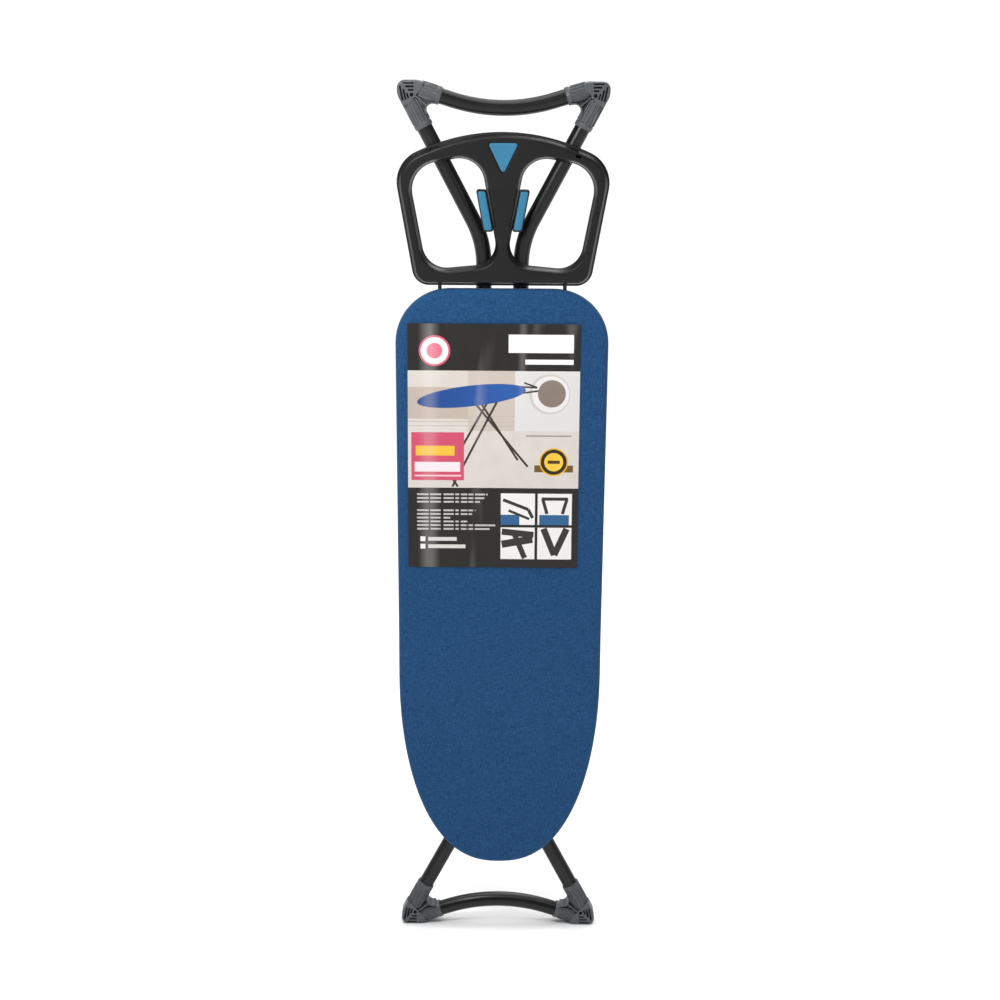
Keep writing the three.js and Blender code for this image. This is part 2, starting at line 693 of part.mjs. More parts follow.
// The locking comb: a hub on the lever rod and a toothed bar behind the sliding rod's path.
function makeComb() {
  const tipY = BOLT_R + 0.7;
  const backY = 15;
  const lowZ = 590;
  const points = [[LEVER_Y - 4.2, LEVER_Z - 3], [LEVER_Y - 4.2, LEVER_Z + 6], [LEVER_Y + 6, LEVER_Z + 7]];
  points.push([backY - 4, LEVER_Z - 4], [backY, LEVER_Z - 12], [backY, lowZ + 6], [backY - 5, lowZ]);
  const toothPitch = 30;
  for (let z = lowZ + 4; z < 750; z += toothPitch) {
    points.push([tipY, z], [tipY, z + 12], [tipY + 4, z + 15], [tipY + 4, z + toothPitch - 1]);
  }
  points.push([tipY + 2, LEVER_Z - 24], [LEVER_Y + 6, LEVER_Z - 8], [LEVER_Y, LEVER_Z - 8]);
  const shape = new THREE.Shape(points.map(([y, z]) => new THREE.Vector2(y, z)));
  return plateYZ(shape, -2.5, 2.5).subtract(barAcross(-5, 5, LEVER_Y, LEVER_Z, LEVER_R + 0.3));
}

function makeLeverRod() {
  return wire(bentRoute([
    [-92, LEVER_Y, LEVER_Z],
    [LEVER_GRIP_X, LEVER_Y, LEVER_Z, 12],
    [LEVER_GRIP_X, LEVER_Y, LEVER_Z + 52],
  ], 5), LEVER_R, 10);
}

// The squeeze grip: a flat plastic paddle sleeved on the rod's turned-up end.
function makeGrip() {
  const half = 12;
  const [low, high] = [LEVER_Z + 18, LEVER_Z + 58];
  const paddle = plateXZ(new THREE.Shape(roundedLoop([
    [LEVER_GRIP_X - half, low, 4], [LEVER_GRIP_X + half, low, 4],
    [LEVER_GRIP_X + half, high, 9], [LEVER_GRIP_X - half, high, 9],
  ], 4)), LEVER_Y - 4.2, LEVER_Y + 4.2);
  const bore = bar(
    new THREE.Vector3(LEVER_GRIP_X, LEVER_Y, low - 1),
    new THREE.Vector3(LEVER_GRIP_X, LEVER_Y, LEVER_Z + 52.4), LEVER_R + 0.35, LEVER_R + 0.35, 10);
  return paddle.subtract(bore);
}

function makeLeverSpring() {
  const turns = 4;
  const pitch = 1.9;
  const perTurn = 8;
  const radius = 3.8;
  const stations = [];
  for (let i = 0; i <= turns * perTurn; i += 1) {
    const angle = (i / perTurn) * Math.PI * 2;
    const x = 88 + (i / perTurn) * pitch;
    const [across, up] = [radius * Math.cos(angle), radius * Math.sin(angle)];
    stations.push(new THREE.Vector3(x, LEVER_Y + across, LEVER_Z + up));
  }
  return wire(stations, 0.7, 5);
}

place('lever_rod', makeLeverRod(), blackPaint);
place('latch_comb', makeComb(), bareSteel);
place('lever_grip', makeGrip(), blackPlastic);
place('lever_spring', makeLeverSpring(), bareSteel);
for (const [name, x, side] of [['left', -82, -1], ['right', 100, 1]]) {
  const hole = { y: LEVER_Y, z: LEVER_Z, radius: LEVER_R + 0.4 };
  const bracket = angleBracket({ x, side, foot: 16, z: LEVER_Z - 2, backY: LEVER_Y + 7, hole });
  place(`lever_bracket_${name}`, bracket, blackPaint);
}

// ---- Iron rest ----

const REST_TOP_CORNER_Z = 1546.8;
const REST_SIDE_CORNER = [194, 1460];
const REST_FOOT_CORNER = [155.5, 1244];

function mirrored(corners) {
  return corners.map(([x, z, radius]) => [-x, z, radius]).reverse();
}

function restOutline() {
  const right = [[...REST_FOOT_CORNER, 30], [...REST_SIDE_CORNER, 59]];
  return roundedLoop([...right, [0, REST_TOP_CORNER_Z, 347], ...mirrored(right)], 8);
}

function restOpening(side) {
  const corners = [[41, 1474, 44], [168, 1452, 49], [134, 1272, 43], [6, 1284, 38]];
  return roundedLoop(corners.map(([x, z, radius]) => [side * x, z, radius]), 7);
}

// Slanted bosses on the web's two sides, which carry the blue side pads.
function padLoop(side, half, length) {
  const lean = 35 / 190;
  const [midX, midZ] = [31.8, 1378];
  const corners = [[-half, -length / 2], [half, -length / 2], [half, length / 2], [-half, length / 2]];
  return roundedLoop(corners.map(([x, z]) => [side * (midX + x + z * lean), midZ + z, 4]), 3);
}

function makeIronRest() {
  const outline = restOutline();
  const openings = [-1, 1].map(restOpening);
  let body = plateXZ(new THREE.Shape(outline), REST_FRONT_Y + 5, REST_BACK_Y - 0.5, {
    bevelEnabled: true, bevelThickness: 5, bevelSize: 5, bevelOffset: -5, bevelSegments: 2,
  }).subtract(box(-300, 300, REST_BACK_Y, 20, 1200, 1600));
  let cavity = plateXZ(new THREE.Shape(inset(outline, REST_WALL + 3)), REST_FRONT_Y + REST_WALL, 10);
  for (const opening of openings) {
    body = body.subtract(plateXZ(new THREE.Shape(opening), -60, 10));
    cavity = cavity.subtract(plateXZ(new THREE.Shape(inset(opening, -REST_WALL)), -60, 20));
  }
  for (const side of [-1, 1]) {
    const boss = plateXZ(new THREE.Shape(padLoop(side, 9, 74)), REST_FRONT_Y + 2.5, REST_BACK_Y - 6);
    body = body.add(boss);
    cavity = cavity.subtract(boss);
    const x = side * WIRE_X;
    body = body.subtract(bar(
      new THREE.Vector3(x, WIRE_Y, 1230), new THREE.Vector3(x, WIRE_Y, 1262), WIRE_R + 0.6));
  }
  return body.subtract(cavity);
}

// The wire leaves the board, follows the rest's arms inside the moulding and comes back down.
function restWireStations() {
  const right = [[WIRE_X, 1135], [WIRE_X, 1261, 12], [148, 1281, 22], [174.5, 1462, 45]];
  const route = [...right, [0, 1500, 230], ...mirrored(right)];
  return bentRoute(route.map(([x, z, radius]) => [x, WIRE_Y, z, radius]), 5);
}

function restClamp(side) {
  const x = side * 84;
  const plate = box(x - 9, x + 9, REST_BACK_Y - 3.4, REST_BACK_Y - 0.8, 1250.4, 1266);
  const head = bar(
    new THREE.Vector3(x, REST_BACK_Y - 1, 1258), new THREE.Vector3(x, REST_BACK_Y + 1, 1258), 4, 3);
  const stem = bar(
    new THREE.Vector3(x, REST_FRONT_Y + REST_WALL + GAP, 1258),
    new THREE.Vector3(x, REST_BACK_Y - 3, 1258), 4, 4);
  return join(plate, head, stem);
}

place('iron_rest', makeIronRest(), blackPlastic);
place('rest_wire', wire(restWireStations(), WIRE_R, 8), blackPaint);
place('rest_clamp_left', restClamp(-1), blackPlastic);
place('rest_clamp_right', restClamp(1), blackPlastic);
const triangle = new THREE.Shape(roundedLoop([[-27, 1496, 4], [27, 1496, 4], [0, 1441, 4]], 4));
place('triangle_insert', plateXZ(triangle, REST_FRONT_Y - 1.3, REST_FRONT_Y - GAP), bluePlastic);
for (const side of [-1, 1]) {
  const pad = plateXZ(new THREE.Shape(padLoop(side, 6.6, 66)), REST_FRONT_Y + 0.2, REST_FRONT_Y + 2.2);
  place(`side_pad_${side < 0 ? 'left' : 'right'}`, pad, bluePlastic);
}

// ---- Lean the board and set it on the floor, centred over the origin ----

board.rotation.x = -LEAN;
board.updateMatrixWorld(true);
const bounds = new THREE.Box3().setFromObject(board, true);
const middle = bounds.getCenter(new THREE.Vector3());
board.position.set(-middle.x, -middle.y, -bounds.min.z);

const part = new THREE.Group();
part.add(board);

export default part;
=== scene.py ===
# %% [markdown]
# # A folding ironing board, dressed for its picture
#
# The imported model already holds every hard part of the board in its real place: the steel tubes, the
# hinges, the slotted rack and a plain stand-in for each soft part. This lesson loads that model and
# never moves it. It adds what the eye looks for: a fitted cloth cover, a moulded rest with soft edges,
# ribbed plastic corners, and a finish of its own for each surface.

import json
import math

import bmesh
import bpy
import numpy as np
from mathutils import Matrix, Vector, geometry


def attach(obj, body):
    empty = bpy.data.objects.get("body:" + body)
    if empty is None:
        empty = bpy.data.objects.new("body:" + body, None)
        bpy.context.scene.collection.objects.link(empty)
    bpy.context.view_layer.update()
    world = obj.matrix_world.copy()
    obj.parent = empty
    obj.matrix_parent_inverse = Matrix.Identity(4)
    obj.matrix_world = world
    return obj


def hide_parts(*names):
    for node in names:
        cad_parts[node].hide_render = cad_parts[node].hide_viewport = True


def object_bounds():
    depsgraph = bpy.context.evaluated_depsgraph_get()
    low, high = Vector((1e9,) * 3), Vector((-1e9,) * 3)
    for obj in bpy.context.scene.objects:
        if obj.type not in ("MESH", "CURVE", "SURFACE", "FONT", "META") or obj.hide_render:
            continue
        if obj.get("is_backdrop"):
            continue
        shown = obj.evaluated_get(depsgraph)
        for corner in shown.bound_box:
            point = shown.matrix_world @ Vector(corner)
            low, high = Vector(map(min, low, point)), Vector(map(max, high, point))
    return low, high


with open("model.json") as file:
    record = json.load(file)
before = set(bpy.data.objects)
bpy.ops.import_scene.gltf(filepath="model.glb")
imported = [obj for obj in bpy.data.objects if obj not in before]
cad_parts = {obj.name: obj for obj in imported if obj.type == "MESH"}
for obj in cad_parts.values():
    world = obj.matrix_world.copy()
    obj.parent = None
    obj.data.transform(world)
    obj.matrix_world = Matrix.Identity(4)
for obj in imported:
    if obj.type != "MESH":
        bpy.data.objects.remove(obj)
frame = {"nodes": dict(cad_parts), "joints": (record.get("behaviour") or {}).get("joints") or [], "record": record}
cad_low, cad_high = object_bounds()
print("the model stands", round(cad_high.z - cad_low.z, 3), "m tall")

# %% [markdown]
# ## One ruler for the whole board
#
# The folded board leans back a little on its nose foot. Its parts are easiest to describe in the
# board's own upright frame, in millimetres: x across the board, z along it from the nose foot, and y
# through it, with the ironing face toward -y. One matrix then tips every finished piece into place.
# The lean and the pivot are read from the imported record, so they can't disagree with the model.

# %% From the board's own frame to the model's
MM = 0.001
PIVOT_Z = 1070.0
mounts = {mount["name"]: mount for mount in frame["record"]["mounts"]}
joints = {joint["name"]: joint for joint in frame["joints"]}
lean = math.asin(mounts["iron_rest_face"]["axis"][2])
pivot = Vector(joints["outer_leg_fold"]["pos_m"])
TO_MODEL = (
    Matrix.Translation(pivot)
    @ Matrix.Rotation(-lean, 4, "X")
    @ Matrix.Translation((0, 0, -PIVOT_Z * MM))
    @ Matrix.Scale(MM, 4)
)
print("the board leans back", round(math.degrees(lean), 2), "degrees")

# %% [markdown]
# ## The camera
#
# The board is seen square on from the front and from a little above, with a long lens, so its sides
# stay nearly parallel. The camera is placed by three plain facts: how far it stands from the face, how
# steeply it looks down on it, and which point of the face is in the middle of the picture.

# %% Place the camera
LOOK_DOWN = math.radians(15.0) + lean
CAMERA_DISTANCE = 3.737
camera_data = bpy.data.cameras.new("camera")
camera_data.sensor_width = 36.0
camera_data.lens = 74.1
camera = bpy.data.objects.new("camera", camera_data)
bpy.context.scene.collection.objects.link(camera)
bpy.context.scene.camera = camera
aim = TO_MODEL @ Vector((-1.5, -38.0, 855.0))
back = Vector((0, -math.cos(LOOK_DOWN), math.sin(LOOK_DOWN)))
camera.location = aim + back * CAMERA_DISTANCE
camera.rotation_mode = "QUATERNION"
ROLL = math.radians(0.4)
roll = Matrix.Rotation(ROLL, 4, "Z").to_quaternion()
camera.rotation_quaternion = (-back).to_track_quat("-Z", "Y") @ roll
camera_data.clip_end = 200
print("the camera is", round(camera.location.z, 2), "m up")

# %% [markdown]
# ## Light and floor
#
# The setting is a white studio. A wide white floor runs back past the top of the picture. A broad
# light high overhead makes that floor white, and because it only grazes the upright board, the board
# keeps its own depth of colour. A dim sky fills the shadows, and soft lamps give the plastic and the
# paint their highlights.

# %% Build the studio
studio = bpy.data.worlds.new("studio")
bpy.context.scene.world = studio
studio.use_nodes = True
sky = studio.node_tree.nodes["Background"]
sky.inputs["Color"].default_value = (1.0, 1.0, 1.0, 1.0)
sky.inputs["Strength"].default_value = 0.2
bpy.context.scene.view_settings.view_transform = "Standard"


def soft_lamp(name, place, size, power):
    data = bpy.data.lights.new(name, "AREA")
    data.shape = "DISK"
    data.size = size
    data.energy = power
    lamp = bpy.data.objects.new(name, data)
    lamp.location = place
    lamp.rotation_mode = "QUATERNION"
    lamp.rotation_quaternion = (aim - Vector(place)).to_track_quat("-Z", "Y")
    bpy.context.scene.collection.objects.link(lamp)


soft_lamp("key_lamp", (-0.55, -0.95, 1.98), 0.4, 12)
soft_lamp("fill_lamp", (2.2, -2.4, 2.2), 1.0, 4)
soft_lamp("back_lamp", (0.6, 2.6, 2.6), 1.4, 22)
overhead_data = bpy.data.lights.new("overhead", "SUN")
overhead_data.energy = 2.9
overhead_data.angle = math.radians(70)
overhead = bpy.data.objects.new("overhead", overhead_data)
overhead.rotation_euler = (math.radians(-6), 0, 0)
bpy.context.scene.collection.objects.link(overhead)

floor_mesh = bpy.data.meshes.new("floor")
FLOOR_HALF = 90.0
floor_mesh.from_pydata(
    [(x, y, 0.0) for x, y in [(-1, -1), (1, -1), (1, 1), (-1, 1)]],
    [],
    [(0, 1, 2, 3)],
)
floor_mesh.transform(Matrix.Scale(FLOOR_HALF, 4))
floor = bpy.data.objects.new("floor", floor_mesh)
bpy.context.scene.collection.objects.link(floor)
floor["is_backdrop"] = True
print("lamps and floor are in place")

# %% [markdown]
# ## Writing finishes as sums
#
# A finish is a small network of nodes, and most of it is arithmetic. The class below wraps one socket
# so that ordinary Python arithmetic on it adds the Math nodes. A second class holds the material and
# adds any other node in one call: its type, its settings, and the values or links of its sockets.


# %% A socket that can be added, multiplied and compared
class Signal:
    def __init__(self, finish, socket):
        self.finish = finish
        self.socket = socket

    def math(self, operation, *others):
        values = dict(enumerate([self, *others]))
        return self.finish.node("Math", {"operation": operation}, values)

    def __add__(self, other):
        return self.math("ADD", other)

    def __sub__(self, other):
        return self.math("SUBTRACT", other)

    def __mul__(self, other):
        return self.math("MULTIPLY", other)

    def __truediv__(self, other):
        return self.math("DIVIDE", other)

    def __gt__(self, other):
        return self.math("GREATER_THAN", other)

    def __lt__(self, other):
        return self.math("LESS_THAN", other)

    def __rsub__(self, other):
        return self * -1.0 + other

    def __abs__(self):
        return self.math("ABSOLUTE")

    __radd__ = __add__
    __rmul__ = __mul__


class Finish:
    def __init__(self, name):
        self.material = bpy.data.materials.new(name)
        self.material.use_nodes = True
        self.tree = self.material.node_tree
        self.shader = self.tree.nodes["Principled BSDF"]
        self.place = self.node("TexCoord", out="Object")

    def node(self, kind, settings=None, values=None, out=0):
        made = self.tree.nodes.new("ShaderNode" + kind)
        for key, value in (settings or {}).items():
            setattr(made, key, value)
        for key, value in (values or {}).items():
            self.feed(made.inputs[key], value)
        return Signal(self, made.outputs[out])

    def feed(self, socket, value):
        if isinstance(value, Signal):
            self.tree.links.new(value.socket, socket)
        else:
            socket.default_value = value

    def axes(self, vector):
        first = self.node("SeparateXYZ", None, {0: vector})
        others = [Signal(self, first.socket.node.outputs[i]) for i in (1, 2)]
        return [first, *others]

    def stretched(self, across, through, along):
        factors = {0: self.place, 1: (across, through, along)}
        return self.node("VectorMath", {"operation": "MULTIPLY"}, factors)

    def noise(self, scale, detail=2.0, place=None, rough=0.5):
        values = {"Vector": place or self.place, "Scale": scale, "Detail": detail, "Roughness": rough}
        return self.node("TexNoise", None, values)

    def smooth(self, value, low, high):
        values = {"Value": value, "From Min": low, "From Max": high}
        return self.node("MapRange", {"interpolation_type": "SMOOTHSTEP"}, values)

    def mix(self, first, second, share):
        values = {0: share, 6: first, 7: second}
        return self.node("Mix", {"data_type": "RGBA"}, values, out=2)

    def bump(self, height, distance, strength=1.0):
        values = {"Height": height, "Distance": distance, "Strength": strength}
        self.feed(self.shader.inputs["Normal"], self.node("Bump", None, values))

    def set(self, **values):
        for key, value in values.items():
            self.feed(self.shader.inputs[key.replace("_", " ")], value)
        return self


def paint(red, green, blue):
    """A colour as it looks on a screen, from 0 to 255, turned into the light that a shader works in."""
    parts = []
    for value in (red, green, blue):
        share = value / 255
        parts.append(share / 12.92 if share <= 0.04045 else ((share + 0.055) / 1.055) ** 2.4)
    return (*parts, 1.0)


print("finishes can now be written as sums")

# %% [markdown]
# ## The floor's finish
#
# Studio paper is matt and almost white. A faint grain keeps it from looking like an empty page.

# %% White paper
paper = Finish("studio_paper")
grain = paper.noise(3.0, 4.0)
paper.set(Base_Color=paper.mix(paint(250, 250, 250), paint(253, 253, 253), grain), Roughness=0.9)
paper.shader.inputs["Specular IOR Level"].default_value = 0.1
floor.data.materials.append(paper.material)
print("paper:", len(paper.tree.nodes), "nodes")

# %% [markdown]
# ## Black paint on the steel
#
# The tubes and pressed parts are powder coated: a thick gloss black skin with a very slight orange-peel
# wave. The wave is a soft bump, and the gloss varies a little, where hands and dust have been.

# %% Gloss black powder coat
black_paint = Finish("black_powder_coat")
peel = black_paint.noise(260.0, 2.0)
dust = black_paint.smooth(black_paint.noise(18.0, 5.0), 0.5, 0.8)
black_paint.set(
    Base_Color=black_paint.mix(paint(17, 17, 18), paint(38, 37, 36), dust * 0.5),
    Roughness=peel * 0.06 + dust * 0.08 + 0.27,
)
black_paint.shader.inputs["Specular IOR Level"].default_value = 0.35
black_paint.bump(peel, 0.0001, 0.5)
print("paint:", len(black_paint.tree.nodes), "nodes")

# %% [markdown]
# ## Three moulded plastics
#
# Moulded plastic takes its surface from the steel of the mould. The corners and the rest came from
# moulds with a fine spark-eroded grain, which scatters the light. The blue inserts have a coarser
# pebble. One function makes all three, because they differ only in colour, gloss and grain.


# %% Plastic from a textured mould
def moulded(name, dark, light, roughness, grain_scale, depth, gloss=0.5):
    plastic = Finish(name)
    mottle = plastic.noise(22.0, 6.0, rough=0.6)
    grain = plastic.noise(grain_scale, 3.0, rough=0.7)
    plastic.set(
        Base_Color=plastic.mix(dark, light, mottle * 0.7 + grain * 0.3),
        Roughness=mottle * 0.12 + grain * 0.06 + (roughness - 0.09),
    )
    plastic.shader.inputs["Specular IOR Level"].default_value = gloss
    plastic.bump(grain, depth, 0.6)
    return plastic


grey_plastic = moulded("corner_grey", paint(66, 69, 73), paint(92, 95, 98), 0.4, 1600.0, 0.00016, 0.4)
black_plastic = moulded("rest_charcoal", paint(16, 16, 17), paint(28, 27, 27), 0.36, 1400.0, 0.0001, 0.25)
blue_plastic = moulded("insert_blue", paint(38, 104, 138), paint(58, 128, 162), 0.5, 700.0, 0.0003, 0.3)
print("three plastics are ready")

# %% [markdown]
# ## Zinc plated steel
#
# Bolts, nuts, the comb and the sliding rod are plated, so they are metal all through their look:
# bright, brushed a little along their length, and cloudy where the plating is thin.

# %% Zinc
zinc = Finish("zinc_plate")
brushed = zinc.noise(90.0, 3.0, zinc.stretched(1.0, 12.0, 12.0))
cloud = zinc.noise(60.0, 4.0)
zinc.set(
    Base_Color=zinc.mix(paint(176, 178, 180), paint(212, 212, 206), cloud),
    Roughness=brushed * 0.2 + cloud * 0.12 + 0.18,
)
zinc.shader.inputs["Metallic"].default_value = 1.0
zinc.bump(brushed, 0.00005, 0.4)
print("zinc:", len(zinc.tree.nodes), "nodes")

# %% [markdown]
# ## The cover's cloth
#
# The cover is a plain weave of blue cotton in which warp and weft are dyed a little differently, so
# the cloth looks heathered: short dark and pale slubs run both along and across it. Long thin noise
# in two directions gives the slubs. Two fine waves, one along each way, give the weave as a bump.

# %% Heathered blue weave
blue_cloth = Finish("cover_cloth")
warp = blue_cloth.noise(800.0, 3.0, blue_cloth.stretched(1.0, 1.0, 0.14), 0.6)
weft = blue_cloth.noise(800.0, 3.0, blue_cloth.stretched(0.14, 1.0, 1.0), 0.6)
broad = blue_cloth.noise(9.0, 3.0)
slubs = blue_cloth.smooth(warp * 0.5 + weft * 0.5, 0.36, 0.66)
tone = blue_cloth.mix(paint(23, 62, 103), paint(45, 90, 137), slubs)
x_place, y_place, z_place = blue_cloth.axes(blue_cloth.place)
THREAD = 0.0011
across_thread = (x_place * (2 * math.pi / THREAD)).math("SINE")
along_thread = (z_place * (2 * math.pi / THREAD)).math("SINE")
weave = across_thread * along_thread
blue_cloth.set(
    Base_Color=blue_cloth.mix(tone, paint(26, 67, 108), broad * 0.35),
    Roughness=slubs * 0.08 + 0.82,
)
blue_cloth.shader.inputs["Sheen Weight"].default_value = 0.1
blue_cloth.shader.inputs["Sheen Roughness"].default_value = 0.5
blue_cloth.shader.inputs["Specular IOR Level"].default_value = 0.1
blue_cloth.bump(weave * 0.3 + slubs, 0.0004, 0.5)
print("cloth:", len(blue_cloth.tree.nodes), "nodes")

# %% [markdown]
# ## Felt
#
# The underlay is needle felt, a mat of short pale fibres with no direction. It shows only from behind,
# through the openings of the steel mesh.

# %% Needle felt
felt = Finish("needle_felt")
fibres = felt.noise(420.0, 6.0, rough=0.75)
tufts = felt.noise(45.0, 4.0)
felt.set(
    Base_Color=felt.mix(paint(142, 139, 131), paint(186, 183, 175), fibres * 0.7 + tufts * 0.3),
    Roughness=tufts * 0.06 + 0.9,
)
felt.bump(fibres + tufts, 0.0008, 0.7)
print("felt:", len(felt.tree.nodes), "nodes")

# %% [markdown]
# ## Shaping tools
#
# Nearly every piece is drawn the same way: an outline with rounded corners, and a profile that says
# how far in and how deep each successive ring lies. Rings joined in order make a wall, and a flat
# field of triangles closes what is left. The helpers below do only that.


# %% Outlines and rings
def rounded_loop(corners, steps=10):
    """A closed outline through corners (x, z, radius), each turned by an arc."""
    points = []
    count = len(corners)
    for i, (x, z, radius) in enumerate(corners):
        here = Vector((x, z))
        behind = (Vector(corners[i - 1][:2]) - here).normalized()
        ahead = (Vector(corners[(i + 1) % count][:2]) - here).normalized()
        half = behind.angle(ahead) / 2
        centre = here + (behind + ahead).normalized() * (radius / math.sin(half))
        start = here + behind * (radius / math.tan(half)) - centre
        end = here + ahead * (radius / math.tan(half)) - centre
        sweep = -start.angle_signed(end)
        for step in range(steps + 1):
            turned = Matrix.Rotation(sweep * step / steps, 2) @ start
            points.append(centre + turned)
    return points


def resampled(points, count):
    """The same closed outline with its points spaced evenly."""
    ring = np.array([tuple(p) for p in points])
    ring = np.vstack([ring, ring[:1]])
    run = np.concatenate([[0], np.cumsum(np.linalg.norm(np.diff(ring, axis=0), axis=1))])
    wanted = np.linspace(0, run[-1], count, endpoint=False)
    return np.column_stack([np.interp(wanted, run, ring[:, axis]) for axis in (0, 1)])


def inset(ring, distance):
    """The outline moved inward by a distance, or outward if it is negative."""
    before = np.roll(ring, 1, axis=0)
    after = np.roll(ring, -1, axis=0)
    area = np.sum(ring[:, 0] * after[:, 1] - after[:, 0] * ring[:, 1])
    run = after - before
    run /= np.linalg.norm(run, axis=1)[:, None]
    normal = np.column_stack([-run[:, 1], run[:, 0]]) * np.sign(area)
    return ring + normal * distance


def inside(points, ring):
    """Which points lie within a closed outline."""
    after = np.roll(ring, -1, axis=0)
    hits = np.zeros(len(points), int)
    for (x0, z0), (x1, z1) in zip(ring, after):
        spans = (z0 > points[:, 1]) != (z1 > points[:, 1])
        crossing = x0 + (points[:, 1] - z0) * (x1 - x0) / (z1 - z0 + 1e-12)
        hits += spans & (points[:, 0] < crossing)
    return hits % 2 == 1


# %% A growing mesh
class Shape:
    """Points in the board's own frame, and the faces between them."""

    def __init__(self):
        self.points = []
        self.faces = []

    def add_ring(self, ring, y):
        start = len(self.points)
        depth = np.broadcast_to(y, len(ring))
        self.points += [(x, float(d), z) for (x, z), d in zip(ring, depth)]
        return list(range(start, start + len(ring)))

    def bridge(self, first, second):
        count = len(first)
        for i in range(count):
            j = (i + 1) % count
            self.faces.append((first[i], first[j], second[j], second[i]))

    def wall(self, ring, profile):
        """Joins a ring to its own inset copies, one for each (inset, y) of the profile."""
        rows = [self.add_ring(inset(ring, distance), y) for distance, y in profile]
        for first, second in zip(rows, rows[1:]):
            self.bridge(first, second)
        return rows

    def field(self, rim, holes, spacing, height):
        """Closes a flat area between rim and holes, given as rows of point numbers, with triangles."""
        rings = [np.array([(self.points[i][0], self.points[i][2]) for i in row]) for row in [rim, *holes]]
        numbers = [i for row in [rim, *holes] for i in row]
        flat = [tuple(p) for ring in rings for p in ring]
        edges = []
        start = 0
        for ring in rings:
            size = len(ring)
            edges += [(start + i, start + (i + 1) % size) for i in range(size)]
            start += size
        low = rings[0].min(axis=0)
        high = rings[0].max(axis=0)
        xs = np.arange(low[0] + spacing / 2, high[0], spacing)
        zs = np.arange(low[1] + spacing / 2, high[1], spacing)
        grid = np.array([(x, z) for z in zs for x in xs]).reshape(-1, 2)
        keep = inside(grid, inset(rings[0], spacing * 0.5))
        for ring in rings[1:]:
            keep &= ~inside(grid, inset(ring, -spacing * 0.5))
        grid = grid[keep]
        every = [Vector(p) for p in flat] + [Vector(p) for p in grid]
        found, _, triangles, origin, _, _ = geometry.delaunay_2d_cdt(every, edges, [], 0, 1e-5)
        known = {}
        for i, sources in enumerate(origin):
            source = sources[0] if sources else len(every)
            if source < len(numbers):
                known[i] = numbers[source]
            else:
                known[i] = len(self.points)
                x, z = found[i]
                self.points.append((x, height(x, z), z))
        middles = np.array([sum((found[i] for i in t), Vector((0, 0))) / 3 for t in triangles])
        keep = inside(middles, rings[0])
        for ring in rings[1:]:
            keep &= ~inside(middles, ring)
        self.faces += [tuple(known[i] for i in t) for t, wanted in zip(triangles, keep) if wanted]

    def sweep(self, route, radius, sides=24):
        """A round bar along a route, with a radius for each of its points."""
        route = [Vector(p) for p in route]
        radii = np.broadcast_to(radius, len(route))
        rows = []
        side = Vector((0, 1, 0))
        for i, here in enumerate(route):
            ahead = route[min(i + 1, len(route) - 1)] - route[max(i - 1, 0)]
            ahead.normalize()
            if abs(ahead.dot(side)) > 0.95:
                side = Vector((1, 0, 0))
            first = (side - ahead * side.dot(ahead)).normalized()
            second = ahead.cross(first)
            side = first
            start = len(self.points)
            for s in range(sides):
                turn = 2 * math.pi * s / sides
                spot = here + (first * math.cos(turn) + second * math.sin(turn)) * float(radii[i])
                self.points.append(tuple(spot))
            rows.append(list(range(start, start + sides)))
        for before, after in zip(rows, rows[1:]):
            self.bridge(before, after)
        self.faces.append(tuple(reversed(rows[0])))
        self.faces.append(tuple(rows[-1]))
        return rows


def make_piece(name, shape, finish, body, replaced=(), smooth=40):
    """Turns a shape into an object that rides on a body and wears the finish it is given."""
    mesh = bpy.data.meshes.new(name)
    mesh.from_pydata(shape.points, [], shape.faces)
    work = bmesh.new()
    work.from_mesh(mesh)
    bmesh.ops.remove_doubles(work, verts=work.verts, dist=0.001)
    bmesh.ops.recalc_face_normals(work, faces=work.faces)
    work.to_mesh(mesh)
    work.free()
    mesh.transform(TO_MODEL)
    mesh.materials.append(finish.material)
    piece = bpy.data.objects.new(name, mesh)
    bpy.context.scene.collection.objects.link(piece)
    mesh.shade_smooth()
    mesh.set_sharp_from_angle(angle=math.radians(smooth))
    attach(piece, body)
    if replaced:
        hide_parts(*replaced)
    print(name + ":", len(mesh.polygons), "faces")
    return piece


def bent_route(corners, steps=14):
    """An open route through corners (x, y, z, radius), each bent round an arc."""
    points = [Vector(corners[0][:3])]
    for i in range(1, len(corners) - 1):
        here = Vector(corners[i][:3])
        radius = corners[i][3]
        behind = (Vector(corners[i - 1][:3]) - here).normalized()
        ahead = (Vector(corners[i + 1][:3]) - here).normalized()
        half = behind.angle(ahead) / 2
        centre = here + (behind + ahead).normalized() * (radius / math.sin(half))
        start = here + behind * (radius / math.tan(half)) - centre
        end = here + ahead * (radius / math.tan(half)) - centre
        axis = start.cross(end).normalized()
        for step in range(steps + 1):
            turn = Matrix.Rotation(start.angle(end) * step / steps, 3, axis)
            points.append(centre + turn @ start)
    points.append(Vector(corners[-1][:3]))
    return points


print("shaping tools are ready")

# %% [markdown]
# ## The board's outline
#
# The top is a long oval at the nose, nearly parallel along the middle, and rounded at the two rear
# corners. The nose is a superellipse, which is fuller than a plain ellipse, as a shaped board's is.

# %% Draw the outline
NOSE_Z = 140.0
REAR_Z = 1240.0
HALF_REAR = 190.0
HALF_WAIST = 186.8
NOSE_LENGTH = 380.0
CORNER_R = 98.0


